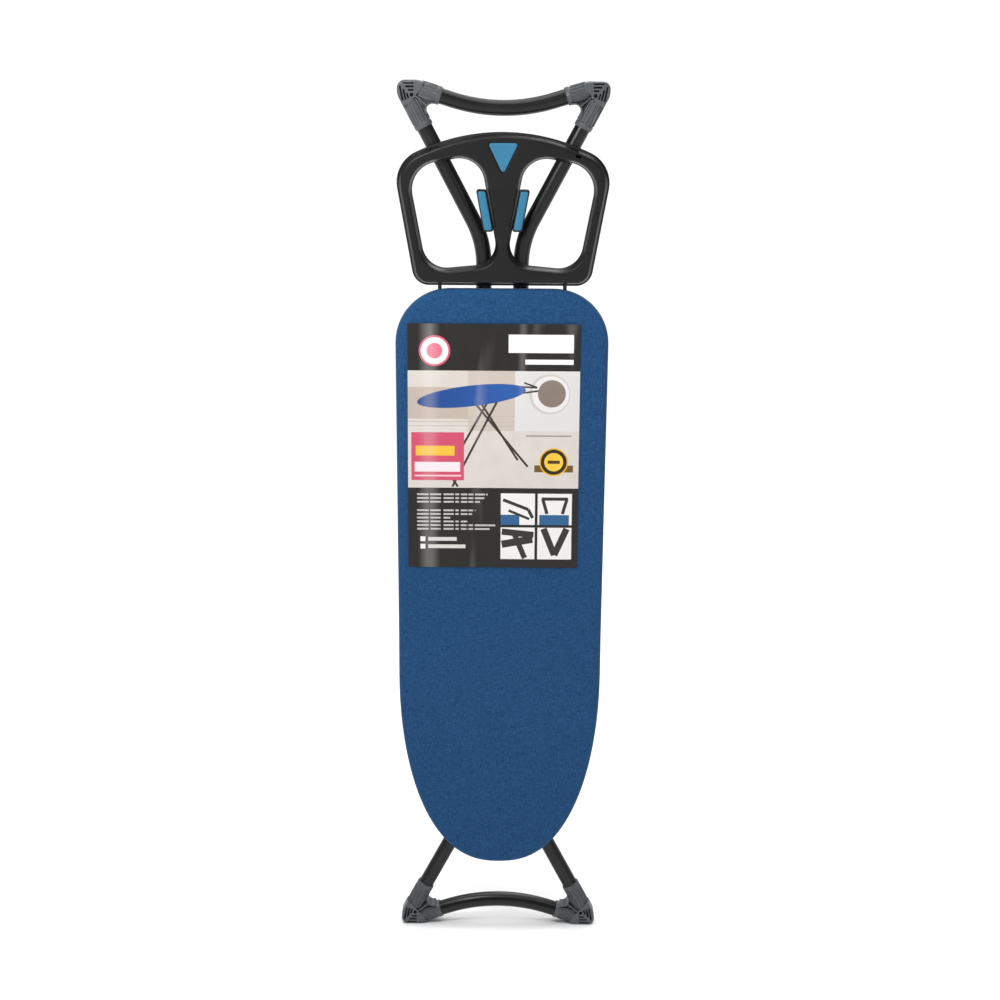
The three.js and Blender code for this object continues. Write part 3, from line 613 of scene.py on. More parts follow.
def board_outline(count):
    right = []
    for turn in np.linspace(0, math.pi / 2, 60):
        x = HALF_WAIST * math.sin(turn) ** (2 / 2.4)
        z = NOSE_Z + NOSE_LENGTH * (1 - max(math.cos(turn), 0) ** (2 / 2.1))
        right.append((x, z))
    right.append((HALF_WAIST, 600.0))
    for turn in np.linspace(0, math.pi / 2, 24):
        x = HALF_REAR - CORNER_R * (1 - math.cos(turn))
        right.append((x, REAR_Z - CORNER_R * (1 - math.sin(turn))))
    left = [(-x, z) for x, z in reversed(right[1:])]
    return resampled(right + left, count)


OUTLINE = board_outline(360)
print("the outline is", round(float(np.ptp(OUTLINE[:, 1]))), "mm long")

# %% [markdown]
# ## The cover
#
# A fitted cover is one sheet of cloth pulled over the padding and round the steel edge, and a drawn
# cord in its hem gathers it behind. It could be a smooth shell, but the eye knows cloth by its small
# faults: puckers at the gathered hem, shallow folds where the cloth is slack, and a soft round edge.
# Rings carry the cloth round the edge, a field of triangles makes the face, and the folds are added
# as long low ridges that run in from the edge.


# %% Folds in the cloth
COVER_Y = -38.9


def edge_folds():
    """Ridges as (x, z, direction, length, width, height), drawn from the edge inward."""
    folds = []
    waves = [(560, 62, 1.5), (606, 84, 2.3), (648, 96, 2.7), (694, 78, 2.0), (742, 56, 1.3)]
    for z, length, height in waves:
        folds.append((188.0, float(z), math.radians(215), float(length), 5.5, height))
    for z in (300, 372, 450, 870, 985):
        folds.append((184.0, float(z), math.radians(202), 46.0, 5.0, 0.8))
    for z in (250, 330, 415, 520, 640, 790, 930, 1060):
        folds.append((-184.0, float(z), math.radians(-24), 48.0, 5.0, 0.9))
    return folds


FOLDS = edge_folds()


def cloth_height(x, z):
    """How far the face of the cover lies forward at a point of the board."""
    lift = 0.5 * math.sin(x / 61 + 0.6) * math.sin(z / 117) + 0.22 * math.sin(z / 31 + x / 47)
    for start_x, start_z, direction, length, width, height in FOLDS:
        ahead = (x - start_x) * math.cos(direction) + (z - start_z) * math.sin(direction)
        aside = -(x - start_x) * math.sin(direction) + (z - start_z) * math.cos(direction)
        if -14 < ahead < length:
            fade = min(1.0, (ahead + 14) / 16) * (1 - max(ahead, 0) / length) ** 0.7
            lift += height * fade * math.exp(-((aside - 0.06 * ahead) / width) ** 2)
            lift -= 0.45 * height * fade * math.exp(-((aside - 2.1 * width) / width) ** 2)
    return COVER_Y - lift


print(len(FOLDS), "folds run in from the edge")


# %% Cut and fit the cover
def cover_shape():
    shape = Shape()
    count = len(OUTLINE)
    share = np.arange(count) / count * 2 * math.pi
    bends = np.abs(np.gradient(np.unwrap(np.arctan2(*np.gradient(OUTLINE, axis=0).T[::-1]))))
    gathered = np.clip(np.convolve(np.tile(bends, 3), np.ones(15) / 15, "same")[count:-count] * 60, 0.25, 1)
    pleats = np.sin(share * 74 + 1.5 * np.sin(share * 5)) * gathered
    ripples = np.sin(share * 131 + 2.0 * np.sin(share * 7)) * gathered
    profile = [(29, -15.6, 1.2), (27.5, -13.9, 1.3), (25, -13.3, 1.3), (22.5, -14.0, 1.2), (21, -14.6, 1.0)]
    profile += [(15, -14.6, 0.9), (9, -14.7, 0.7), (4, -15.2, 0.5), (1.2, -17.4, 0.4), (0.1, -21, 0.3)]
    profile += [(-0.3, -26, 0.2), (0.0, -31, 0.15), (1.3, -34.6, 0.1), (3.8, -37.0, 0.1), (7.5, -38.3, 0.1)]
    rows = []
    for distance, y, wave in profile:
        swing = (pleats + 0.5 * ripples) * wave
        drawn = distance + ripples[:, None] * (0.6 if distance > 20 else 0.0)
        rows.append(shape.add_ring(inset(OUTLINE, drawn), y + swing * 0.8))
    for first, second in zip(rows, rows[1:]):
        shape.bridge(first, second)
    last = inset(OUTLINE, 13)
    face = shape.add_ring(last, np.array([cloth_height(x, z) for x, z in last]))
    shape.bridge(rows[-1], face)
    shape.field(face, [], 7.0, cloth_height)
    return shape


cover = make_piece("cover_cloth", cover_shape(), blue_cloth, "board", ["cover"], 180)
TURNED_UNDER = 54.0
cut = inset(OUTLINE, -TURNED_UNDER)
after = np.roll(cut, -1, axis=0)
cut_area = abs(float(np.sum(cut[:, 0] * after[:, 1] - after[:, 0] * cut[:, 1]))) / 2 * MM * MM

# %% [markdown]
# A real cover never lies quite flat: it was cut a little large, and the slack settles into shallow
# waves between the places that hold it. The cloth solver finds them. The edge is held, and so is the
# cloth under the sales card. The rest is given one per cent of slack and a breath of pressure from the
# padding, and settles for twenty frames. A share of the movement is kept, so that the waves stay low.

# %% Let the slack settle
MOST_LIFT = 0.0022
UNDER_CARD = np.array([(-175.0, 720.0), (147.0, 1186.0)])


def settle(piece):
    to_board = np.array(TO_MODEL.inverted())
    start = np.array([v.co for v in piece.data.vertices])
    flat = (start @ to_board[:3, :3].T + to_board[:3, 3])[:, [0, 2]]
    deep = (start @ to_board[:3, :3].T + to_board[:3, 3])[:, 1]
    under_card = np.all((flat > UNDER_CARD[0]) & (flat < UNDER_CARD[1]), axis=1)
    hold = np.where(inside(flat, inset(OUTLINE, 42)), 0.0, 0.5)
    hold[~inside(flat, inset(OUTLINE, 20)) | (deep > -36) | under_card] = 1.0
    held = piece.vertex_groups.new(name="held")
    for i, weight in enumerate(hold):
        held.add([i], float(weight), "REPLACE")
    cloth = piece.modifiers.new("settle", "CLOTH")
    cloth.settings.vertex_group_mass = "held"
    cloth.settings.quality = 4
    cloth.settings.shrink_min = -0.01
    cloth.settings.use_pressure = True
    cloth.settings.uniform_pressure_force = 0.6
    cloth.settings.bending_stiffness = 0.2
    cloth.settings.effector_weights.gravity = 0
    for frame_number in range(1, 21):
        bpy.context.scene.frame_set(frame_number)
    settled = piece.evaluated_get(bpy.context.evaluated_depsgraph_get())
    moved = np.array([v.co for v in settled.data.vertices]) - start
    piece.modifiers.remove(cloth)
    bpy.context.scene.frame_set(1)
    lengths = np.linalg.norm(moved, axis=1)
    share = MOST_LIFT / max(MOST_LIFT, float(np.percentile(lengths, 99.5)))
    kept = moved * share
    kept *= np.minimum(1, MOST_LIFT / np.maximum(np.linalg.norm(kept, axis=1), 1e-9))[:, None]
    piece.data.vertices.foreach_set("co", (start + kept).astype(np.float32).ravel())
    piece.data.update()
    most = round(float(lengths.max()) * 1000, 1)
    print("the slack moved", most, "mm at most; kept", round(share, 2), "of it")


settle(cover)
soft_edges = cover.modifiers.new("smooth_cloth", "SUBSURF")
soft_edges.levels = 1
soft_edges.render_levels = 1

# %% [markdown]
# ## The underlay
#
# Under the cloth lies a pad of felt, cut a little smaller than the steel edge. Its edge is rounded
# over by use, and its back is pressed into the mesh, so it swells a little into every opening.


# %% Lay the felt
def felt_shape():
    shape = Shape()

    def swell(x, z):
        return -32.6 + 0.35 * math.sin(x / 7 * math.pi) * math.sin(z / 15 * math.pi)

    profile = [(9.0, -36.9), (5.0, -36.6), (3.0, -35.8), (2.4, -34.6), (3.0, -33.4), (6.0, -32.8)]
    rows = shape.wall(OUTLINE, profile)
    shape.field(rows[0], [], 22.0, lambda x, z: -36.9)
    shape.field(rows[-1], [], 8.0, swell)
    return shape


underlay = make_piece("felt_underlay", felt_shape(), felt, "board", ["felt_pad"])

# %% [markdown]
# ## The steel mesh
#
# Expanded metal is slit and pulled open in one stroke, so that it becomes a sheet of diamonds with no
# joints. Here each strand is a flat bar between two points of a staggered grid. A plain margin is left
# all round, where the mesh is welded to the edge frame.


# %% Open the diamonds
CELL_ACROSS = 15.0
CELL_ALONG = 34.0
STRAND_HALF = 0.9


def strand(shape, start, end):
    run = (Vector(end) - Vector(start)).normalized()
    side = Vector((-run.y, run.x)) * STRAND_HALF
    rows = []
    for spot in (Vector(start), Vector(end)):
        first = len(shape.points)
        for offset, y in ((side, -32.2), (-side, -32.0), (-side, -31.0), (side, -31.2)):
            corner = spot + offset
            shape.points.append((corner.x, y, corner.y))
        rows.append(list(range(first, first + 4)))
    shape.bridge(*rows)
    shape.faces.append(tuple(rows[0]))
    shape.faces.append(tuple(rows[1]))


def mesh_shape():
    shape = Shape()
    rows = shape.wall(OUTLINE, [(3.4, -32.2), (13.0, -32.2), (13.0, -31.0), (3.4, -31.0)])
    shape.bridge(rows[-1], rows[0])
    margin = inset(OUTLINE, 11.0)
    half_across = CELL_ACROSS / 2
    half_along = CELL_ALONG / 2
    strands = []
    for row in range(int(1100 / half_along) + 1):
        z = NOSE_Z + row * half_along
        shift = half_across * (row % 2)
        for column in range(-14, 15):
            x = column * CELL_ACROSS + shift
            strands.append(((x, z), (x + half_across, z + half_along)))
            strands.append(((x, z), (x - half_across, z + half_along)))
    middles = np.array([np.mean(ends, axis=0) for ends in strands])
    for ends, wanted in zip(strands, inside(middles, margin)):
        if wanted:
            strand(shape, *ends)
    return shape


make_piece("expanded_mesh", mesh_shape(), black_paint, "board", ["mesh_panel"], 30)

# %% [markdown]
# ## The sales card
#
# A printed card in clear film lies on the cover. Everything on it is drawn by the finish from plain
# shapes in millimetres: bands, squares, discs and bars stand where the print has words, pictures and
# seals. None of it is a letter or a mark. The film gives the gloss, and its slack gives long soft
# ripples that bend the reflections.

# %% Cut the card
CARD_LEFT, CARD_RIGHT = -168.0, 140.0
CARD_LOW, CARD_HIGH = 728.0, 1179.0


def card_height(x, z):
    bow = 0.35 * math.sin((x - 20) / 44) + 0.2 * math.sin(z / 83 + x / 60)
    curl = 0.9 * max(0.0, (z - 1100) / 80) ** 2 + 0.8 * max(0.0, (790 - z) / 62) ** 2
    return COVER_Y - 1.35 - bow - curl * 0.6


def card_shape():
    shape = Shape()
    corners = [
        (CARD_LEFT, CARD_LOW),
        (CARD_RIGHT, CARD_LOW),
        (CARD_RIGHT, CARD_HIGH),
        (CARD_LEFT, CARD_HIGH),
    ]
    ring = resampled(rounded_loop([(x, z, 1.5) for x, z in corners], 3), 300)
    front_y = np.array([card_height(x, z) for x, z in ring])
    back = shape.add_ring(ring, front_y + 0.5)
    front = shape.add_ring(ring, front_y)
    shape.bridge(back, front)
    shape.field(front, [], 8.0, card_height)
    shape.field(back, [], 16.0, lambda x, z: card_height(x, z) + 0.5)
    return shape


# %% Print the card
card_print = Finish("printed_card")
spot = card_print.node("Attribute", {"attribute_name": "print_mm"}, out="Vector")
px, py, pz = card_print.axes(spot)


def area(x0, x1, z0, z1):
    """1 inside an upright rectangle of the print, 0 outside it."""
    return (px > x0) * (px < x1) * (pz > z0) * (pz < z1)


def disc(x, z, radius):
    dx = px - x
    dz = pz - z
    return (dx * dx + dz * dz) < radius * radius


def stroke(x0, z0, x1, z1, half):
    """1 within a straight line of a given half width between two points."""
    length = math.hypot(x1 - x0, z1 - z0)
    ux, uz = (x1 - x0) / length, (z1 - z0) / length
    along = (px - x0) * ux + (pz - z0) * uz
    aside = abs((px - x0) * uz - (pz - z0) * ux)
    return (along > 0.0) * (along < length) * (aside < half)


def over(below, share, colour):
    return card_print.mix(below, colour, share)


mottled = card_print.noise(30.0, 3.0)
ink = card_print.mix(paint(28, 25, 23), paint(38, 34, 32), mottled)
wall_pale = card_print.mix(paint(206, 197, 188), paint(220, 214, 208), mottled)
look = over(ink, area(-170, 142, 878, 1094), wall_pale)
look = over(look, area(-170, -60, 1006, 1064), paint(190, 175, 163))
look = over(look, area(-60, 24, 984, 1094), paint(200, 188, 178))
look = over(look, area(24, 142, 984, 1094), paint(218, 216, 214))
for height in (1010.0, 1000.0, 992.0):
    look = over(look, area(-170, 24, height, height + 1.6), paint(190, 178, 168))
look = over(look, area(44, 126, 974, 976.5), paint(150, 140, 134))
look = over(look, disc(86, 1052, 37), paint(204, 198, 194))
look = over(look, disc(88, 1052, 33), paint(228, 226, 224))
look = over(look, disc(90, 1053, 25), card_print.mix(paint(118, 104, 96), paint(146, 132, 122), mottled))
print("the card has its bands and panels")

# %% [markdown]
# The middle of the card shows an open board of no make: a blue leaf on thin crossed legs. The leaf is
# a circle squeezed flat in its own tilted frame, and each leg is a stroke.

# %% The picture on the card
LEGS = [(-52, 1040, 48, 918), (-40, 1040, 30, 930), (-4, 1046, -88, 880), (-20, 1046, -96, 908)]
for x0, z0, x1, z1 in LEGS:
    look = over(look, stroke(x0, z0, x1, z1, 2.0), paint(58, 48, 44))
look = over(look, stroke(-96, 908, -78, 880, 2.0), paint(58, 48, 44))
for x0, z0, x1, z1 in [(20, 1066, 64, 1064), (30, 1053, 66, 1058), (40, 1073, 64, 1064)]:
    look = over(look, stroke(x0, z0, x1, z1, 1.6), paint(64, 56, 54))
tilt = math.radians(7)
leaf_along = (px + 54) * math.cos(tilt) + (pz - 1048) * math.sin(tilt)
leaf_across = (pz - 1048) * math.cos(tilt) - (px + 54) * math.sin(tilt)
squeezed = leaf_along * leaf_along * (1 / 98**2) + leaf_across * leaf_across * (1 / 19**2)
leaf_blue = card_print.mix(
    paint(22, 70, 140),
    paint(38, 88, 164),
    card_print.smooth(leaf_along, -90.0, 90.0),
)
look = over(look, squeezed < 1.0, leaf_blue)
look = over(look, area(-162, -67, 892, 981), paint(206, 78, 106))
look = over(look, area(-154, -84, 938, 956), paint(250, 190, 60))
look = over(look, area(-156, -74, 908, 926), paint(250, 226, 230))
look = over(look, area(-156, -72, 899, 902), paint(246, 200, 208))
print("the card has its picture")

# %% [markdown]
# Two ribbon tails and three discs make a plain seal. The small pictures are white tiles, each with a
# bit of blue or black on it, and rows of thin bars stand where the lines of print are.

# %% Seal, tiles and bars
for x0, x1 in ((60, 78), (112, 130)):
    look = over(look, area(x0, x1, 908, 921), paint(112, 84, 34))
look = over(look, disc(95, 927, 26), paint(232, 178, 36))
look = over(look, disc(95, 927, 23.5), paint(44, 34, 24))
look = over(look, disc(95, 927, 17), card_print.mix(paint(238, 178, 32), paint(252, 216, 84), mottled))
look = over(look, area(84, 106, 924, 930), paint(70, 50, 24))
TILES = [(0, 62, 809, 868), (67, 129, 809, 868), (0, 62, 744, 804), (67, 129, 744, 804)]
for x0, x1, z0, z1 in TILES:
    look = over(look, area(x0, x1, z0, z1), paint(236, 234, 232))
blue_print = paint(44, 96, 142)
for bit in (area(0, 34, 809, 828), area(70, 124, 809, 828)):
    look = over(look, bit, blue_print)
DARK_BITS = [(4, 856, 50, 838, 3), (50, 838, 58, 822, 3), (14, 836, 52, 820, 2.4), (74, 858, 122, 858, 3)]
DARK_BITS += [(76, 858, 84, 830, 3), (120, 858, 112, 830, 3), (2, 796, 60, 790, 6), (2, 772, 58, 782, 7)]
DARK_BITS += [(24, 794, 44, 746, 5), (78, 802, 98, 752, 6), (120, 802, 98, 752, 6)]
for x0, z0, x1, z1, half in DARK_BITS:
    look = over(look, stroke(x0, z0, x1, z1, half), paint(52, 46, 44))
for x0, x1, z0, z1 in ((12, 128, 1127, 1160), (42, 128, 1106, 1115)):
    look = over(look, area(x0, x1, z0, z1), paint(246, 246, 246))
look = over(look, disc(-120, 1130, 28), paint(214, 92, 116))
look = over(look, disc(-120, 1130, 24.5), paint(248, 236, 238))
look = over(look, disc(-120, 1130, 14), paint(224, 112, 134))
LINES = [
    (864, -24), (857, -30), (850, -38),
    (834, -46), (827, -52), (820, -92),
    (813, -60), (806, -10), (799, -20),
]
for height, end in LINES:
    broken = card_print.noise(160.0, 1.0, card_print.stretched(1.0, 0.0, 0.02)) > 0.42
    look = over(look, area(-152, end, height, height + 3.2) * broken, paint(196, 190, 186))
for height, end in ((777, -80), (763, -64)):
    look = over(look, area(-146, -137, height, height + 9), paint(240, 238, 236))
    look = over(look, area(-132, end, height + 1, height + 8), paint(216, 212, 208))
print("the card has", len(card_print.tree.nodes), "nodes")

# %% [markdown]
# The film over the print is slack, so its gloss bends in long upright ripples. Pale painted highlights stand in
# for the film's reflections:
# streaks along the ripple crests and one soft upright band near the left edge, mixed into the colour.

# %% Film over the print
ripple_place = card_print.stretched(1.0, 0.0, 0.12)
ripple = card_print.noise(17.0, 2.0, ripple_place)
# The crests of the ripples: the film is rougher there, and below they also carry a painted highlight.
ripple_crests = card_print.smooth(ripple, 0.56, 0.72)
painted_sheen_band = card_print.smooth(abs(px + 130), 22.0, 2.0)
# Painted highlight: pale streaks on the ripple crests and a soft upright band near x = -130 mm stand in for
# reflections on the film, mixed into the base colour below.
painted_film_sheen = ripple_crests * 0.16 + painted_sheen_band * 0.14
card_print.set(Base_Color=over(look, painted_film_sheen, paint(232, 228, 226)), Roughness=ripple_crests * 0.12 + 0.14)
card_print.shader.inputs["Coat Weight"].default_value = 0.15
card_print.shader.inputs["Specular IOR Level"].default_value = 0.2
card_print.shader.inputs["Coat Roughness"].default_value = 0.06
card_print.bump(ripple, 0.004, 0.35)
card = make_piece("sales_card", card_shape(), card_print, "board", ["label_card"])
marks = card.data.attributes.new("print_mm", "FLOAT_VECTOR", "POINT")
TO_BOARD = TO_MODEL.inverted()
for vertex, mark in zip(card.data.vertices, marks.data):
    mark.vector = TO_BOARD @ vertex.co
print("the card is", CARD_RIGHT - CARD_LEFT, "by", CARD_HIGH - CARD_LOW, "mm")

# %% [markdown]
# ## The iron rest
#
# The rest is one thin-walled moulding: a face with two large openings, and skirts that flare out from
# it all round, inside and out, to a rolled lip. Each skirt is a ring carried through one profile, from
# the face over a soft edge, down the outside, round the lip and back up inside. Short ribs stiffen the
# hollow behind the face, and two slanted bosses on the web carry the blue pads.

# %% Outlines of the rest
FACE_Y = -36.0
UNDER_Y = -33.4


def mirrored(corners):
    return [(-x, z, radius) for x, z, radius in reversed(corners)]


rest_right = [(155.5, 1244, 30), (194, 1460, 59)]
REST_OUTLINE = resampled(rounded_loop([*rest_right, (0, 1546.8, 347), *mirrored(rest_right)], 24), 300)


def rest_opening(side):
    corners = [(41, 1474, 44), (168, 1452, 49), (134, 1272, 43), (6, 1284, 38)]
    return resampled(rounded_loop([(side * x, z, radius) for x, z, radius in corners], 20), 190)


def pad_loop(side, half, length, radius=4.0):
    slope = 35 / 190
    corners = [(-half, -length / 2), (half, -length / 2), (half, length / 2), (-half, length / 2)]
    placed = [(side * (31.8 + x + z * slope), 1378 + z, radius) for x, z in corners]
    return resampled(rounded_loop(placed, 6), 90)


TRIANGLE = [(-27, 1496, 4), (27, 1496, 4), (0, 1441, 4)]
triangle_loop = resampled(rounded_loop(TRIANGLE, 8), 120)
SKIRT = [(12.6, -36.0), (10.4, -35.95), (9.0, -35.6), (8.0, -34.8), (7.5, -33.8), (5.4, -27), (3.6, -21)]
SKIRT += [(2.5, -19.6), (1.2, -19.2), (0.4, -18.6), (0, -17.6), (0.1, -16.7), (0.9, -16.1), (2.6, -16.0)]
SKIRT += [(3.6, -16.6), (4.6, -19), (9.4, -32.4), (10.6, -33.4)]
MOUTH = [
    (-9.6, -36.0), (-8.0, -35.95), (-6.8, -35.6), (-6.0, -34.8),
    (-5.5, -33.8), (-3.4, -27), (-1.7, -20),
]
MOUTH += [(-0.7, -18.4), (-0.1, -17.5), (0, -16.8), (-0.6, -16.1), (-2.2, -16.0), (-3.0, -16.8)]
MOUTH += [(-4.0, -19), (-7.6, -32.4), (-8.6, -33.4)]
print("the rest's skirt has", len(SKIRT), "rings")


# %% Mould the rest
def slab(shape, loop, front, back_y, soft=0.8, spacing=6.0):
    """A flat block with a softened front edge."""
    edge = [(0, back_y), (0, front + soft), (soft * 0.3, front + soft * 0.3), (soft, front)]
    rows = shape.wall(loop, edge)
    shape.field(rows[0], [], spacing, lambda x, z: back_y)
    shape.field(rows[-1], [], spacing, lambda x, z: front)


def rib(shape, x0, z0, x1, z1, front, back_y, half=0.8):
    run = (Vector((x1, z1)) - Vector((x0, z0))).normalized()
    side = Vector((-run.y, run.x)) * half
    start, end = Vector((x0, z0)), Vector((x1, z1))
    corners = [start + side, end + side, end - side, start - side]
    loop = np.array([tuple(c) for c in corners])
    rows = [shape.add_ring(loop, front), shape.add_ring(loop, back_y)]
    shape.bridge(*rows)
    shape.faces.append(tuple(rows[0]))
    shape.faces.append(tuple(rows[1]))


def crossings(loop, axis, value):
    """Where a closed outline crosses a line of constant x (axis 0) or z (axis 1), lowest first."""
    after = np.roll(loop, -1, axis=0)
    spans = (loop[:, axis] > value) != (after[:, axis] > value)
    start, end = loop[spans], after[spans]
    share = (value - start[:, axis]) / (end[:, axis] - start[:, axis])
    return sorted(start[:, 1 - axis] + share * (end[:, 1 - axis] - start[:, 1 - axis]))


def rest_shape():
    shape = Shape()
    outer = shape.wall(REST_OUTLINE, SKIRT)
    mouths = [shape.wall(rest_opening(side), MOUTH) for side in (-1, 1)]
    groove = shape.wall(triangle_loop, [(-2.6, FACE_Y), (-1.8, -35.9), (-1.3, -35.5), (-1.1, -34.7)])
    shape.field(outer[0], [*[m[0] for m in mouths], groove[0]], 7.0, lambda x, z: FACE_Y)
    shape.field(groove[-1], [], 8.0, lambda x, z: -34.7)
    shape.field(outer[-1], [m[-1] for m in mouths], 9.0, lambda x, z: UNDER_Y)
    for side in (-1, 1):
        slab(shape, pad_loop(side, 9.0, 74.0), -33.4, -22.0, 1.2)
        mouth = rest_opening(side)
        for x in (50, 80, 110):
            top = (crossings(mouth, 0, side * x)[-1] + 6, crossings(REST_OUTLINE, 0, side * x)[-1] - 9)
            rib(shape, side * x, top[0], side * x, top[1], UNDER_Y, -26.0)
            foot = (crossings(REST_OUTLINE, 0, side * x)[0] + 9, crossings(mouth, 0, side * x)[0] - 6)
            rib(shape, side * x, foot[0], side * x, foot[1], UNDER_Y, -26.0)
        for z in (1320, 1360, 1400, 1440):
            near = max(side * v for v in crossings(mouth, 1, z)) + 6
            far = max(side * v for v in crossings(REST_OUTLINE, 1, z)) - 9
            rib(shape, side * near, z, side * far, z, UNDER_Y, -26.0)
    return shape


make_piece("iron_rest_moulding", rest_shape(), black_plastic, "board", ["iron_rest"], 50)

# %% [markdown]
# ## The blue inserts
#
# The triangle and the two pads are heat-proof stops for the iron's sole. They are separate mouldings
# with a pebbled face and a softened edge, pressed into their seats.


# %% Press in the inserts
def insert_shape(loop, front, back_y, dome):
    shape = Shape()
    rows = shape.wall(loop, [(0.2, back_y), (0, front + 0.9), (0.25, front + 0.35), (0.9, front)])
    shape.field(rows[0], [], 5.0, lambda x, z: back_y)
    shape.field(rows[-1], [], 4.0, lambda x, z: front - dome)
    return shape


triangle = insert_shape(inset(triangle_loop, 0.1), -36.9, -34.75, 0.15)
make_piece("triangle_stop", triangle, blue_plastic, "board", ["triangle_insert"], 45)
for side, name in ((-1, "left"), (1, "right")):
    pad = insert_shape(pad_loop(side, 6.8, 68.0, 3.4), -35.4, -33.3, 0.1)
    make_piece("pad_stop_" + name, pad, blue_plastic, "board", ["side_pad_" + name], 45)

# %% [markdown]
# ## Tubes and wire
#
# The leg tubes, the foot bars and the wire that carries the rest are plain round steel bent on a
# former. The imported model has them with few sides. Here the same routes are swept again with many, so
# that their highlights run smoothly round the bends.

# %% Bend the tubes
TUBE_R = 14.0
FOOT_X = 177.5
SPLAY = math.radians(27.8)
SLOPE = math.radians(17.0)
BLIND = 38.0
NOSE_CORNER_Z = 6.0
REAR_CORNER_Z = 1594.0
SCISSOR_ARM = 271.0


def leg_route(side, x, end_z, corner_z, footward):
    bend_z = corner_z - footward * (FOOT_X - x) / math.tan(SPLAY)
    tip_x = FOOT_X - BLIND * math.sin(SPLAY)
    tip_z = corner_z - footward * BLIND * math.cos(SPLAY)
    return bent_route([(side * x, 0, end_z), (side * x, 0, bend_z, 170), (side * tip_x, 0, tip_z)])


def foot_route(corner_z, footward):
    tip_x = FOOT_X - BLIND * math.cos(SLOPE)
    tip_z = corner_z - footward * BLIND * math.sin(SLOPE)
    middle_z = corner_z - footward * FOOT_X * math.tan(SLOPE)
    return bent_route([(-tip_x, 0, tip_z), (0, 0, middle_z, 300), (tip_x, 0, tip_z)], 20)


LEG_SETS = [
    ("outer", "nose", 66.0, PIVOT_Z + 8, NOSE_CORNER_Z, -1),
    ("inner", "rear", 33.0, PIVOT_Z - 2 * SCISSOR_ARM - 8, REAR_CORNER_Z, 1),
]
for leg, foot, x, end_z, corner_z, footward in LEG_SETS:
    for side, name in ((-1, "left"), (1, "right")):
        shape = Shape()
        shape.sweep(leg_route(side, x, end_z, corner_z, footward), TUBE_R, 32)
        pipe = f"{leg}_tube_{name}"
        make_piece(pipe + "_skin", shape, black_paint, leg + "_leg", [pipe])
    shape = Shape()
    shape.sweep(foot_route(corner_z, footward), TUBE_R, 32)
    foot_bar = f"{foot}_foot_bar"
    make_piece(foot_bar + "_skin", shape, black_paint, leg + "_leg", [foot_bar])

WIRE_Y = -21.5
wire_right = [(111, 1135), (111, 1261, 12), (148, 1281, 22), (174.5, 1462, 45)]
wire_left = [(-x, *rest_of) for x, *rest_of in reversed(wire_right)]
wire_route = [(x, WIRE_Y, z, *radius) for x, z, *radius in [*wire_right, (0, 1500, 230), *wire_left]]
shape = Shape()
shape.sweep(bent_route(wire_route), 3.5, 16)
make_piece("rest_wire_skin", shape, black_paint, "board", ["rest_wire"])

# %% [markdown]
# ## The plastic corners
#
# Each foot ends in two grey elbows. An elbow is a pair of ribbed sockets that meet in a flat-soled
# heel, with a web and a stiffening rib in the crotch between them. The heel is cored out in nested
# slots, which saves plastic and keeps the wall even, so it cools without sinking. One elbow is built
# with its corner at the origin, then mirrored into the other three places.

# %% Parts of an elbow
LEG_WAY = Vector((math.sin(SPLAY), 0, math.cos(SPLAY)))
BAR_WAY = Vector((math.cos(SLOPE), 0, math.sin(SLOPE)))
HEEL_HALF = 15.5


def socket(shape, way, length, ribs):
    """A ribbed sleeve: it widens from the heel, carries its ribs, and ends in a plain collar."""
    sides = ribs * 8
    side = Vector((0, 1, 0))
    second = way.cross(side)
    stations = [(31, 13.6, 0), (33, 14.4, 0), (34, 14.5, 1.9), (56, 14.6, 2.0), (length - 11, 14.7, 1.9)]
    stations += [(length - 9, 15.3, 0), (length - 7.4, 16.5, 0), (length - 1, 16.3, 0), (length, 15.7, 0)]
    stations += [(length, 14.3, 0), (length - 8, 14.25, 0)]
    rows = []
    for along, radius, height in stations:
        start = len(shape.points)
        for s in range(sides):
            turn = 2 * math.pi * s / sides
            swell = height * max(0.0, math.cos(turn * ribs)) ** 0.7 if height else 0.0
            spot = way * along + (side * math.cos(turn) + second * math.sin(turn)) * (radius + swell)
            shape.points.append(tuple(spot))
        rows.append(list(range(start, start + sides)))
    for before, beyond in zip(rows, rows[1:]):
        shape.bridge(before, beyond)
    shape.faces.append(tuple(rows[0]))
    shape.faces.append(tuple(rows[-1]))


HEEL_CORNERS = [
    (-8, -6, 12), (26, -6, 14), (40, -3.4, 3), (35, 10.5, 3),
    (24, 19, 4), (16.8, 32, 3), (3.2, 39, 3),
]
HEEL_CORNERS += [(-8, 18, 30)]
HEEL_SLOTS = [(2.4, -2.0, 21.5, -2.0, 1.4), (6.5, 3.8, 21.5, 3.8, 1.8), (11.4, 9.8, 21.5, 9.8, 1.7)]
HEEL_SLOTS += [(-3.0, 2.4, 2.2, 28.4, 1.8), (3.0, 8.2, 7.4, 26.6, 1.8), (9.0, 14.6, 12.2, 24.6, 1.6)]
HEEL_SLOTS += [(17.6, 14.6, 17.6, 21.2, 3.0)]


def slot_loop(x0, z0, x1, z1, half):
    """A straight slot between two points, with small round corners."""
    along = Vector((x1 - x0, z1 - z0)).normalized()
    beside = Vector((-along.y, along.x)) * half
    start, end = Vector((x0, z0)), Vector((x1, z1))
    corners = [start + beside, start - beside, end - beside, end + beside]
    return resampled(rounded_loop([(*corner, 0.7) for corner in corners], 3), 40)


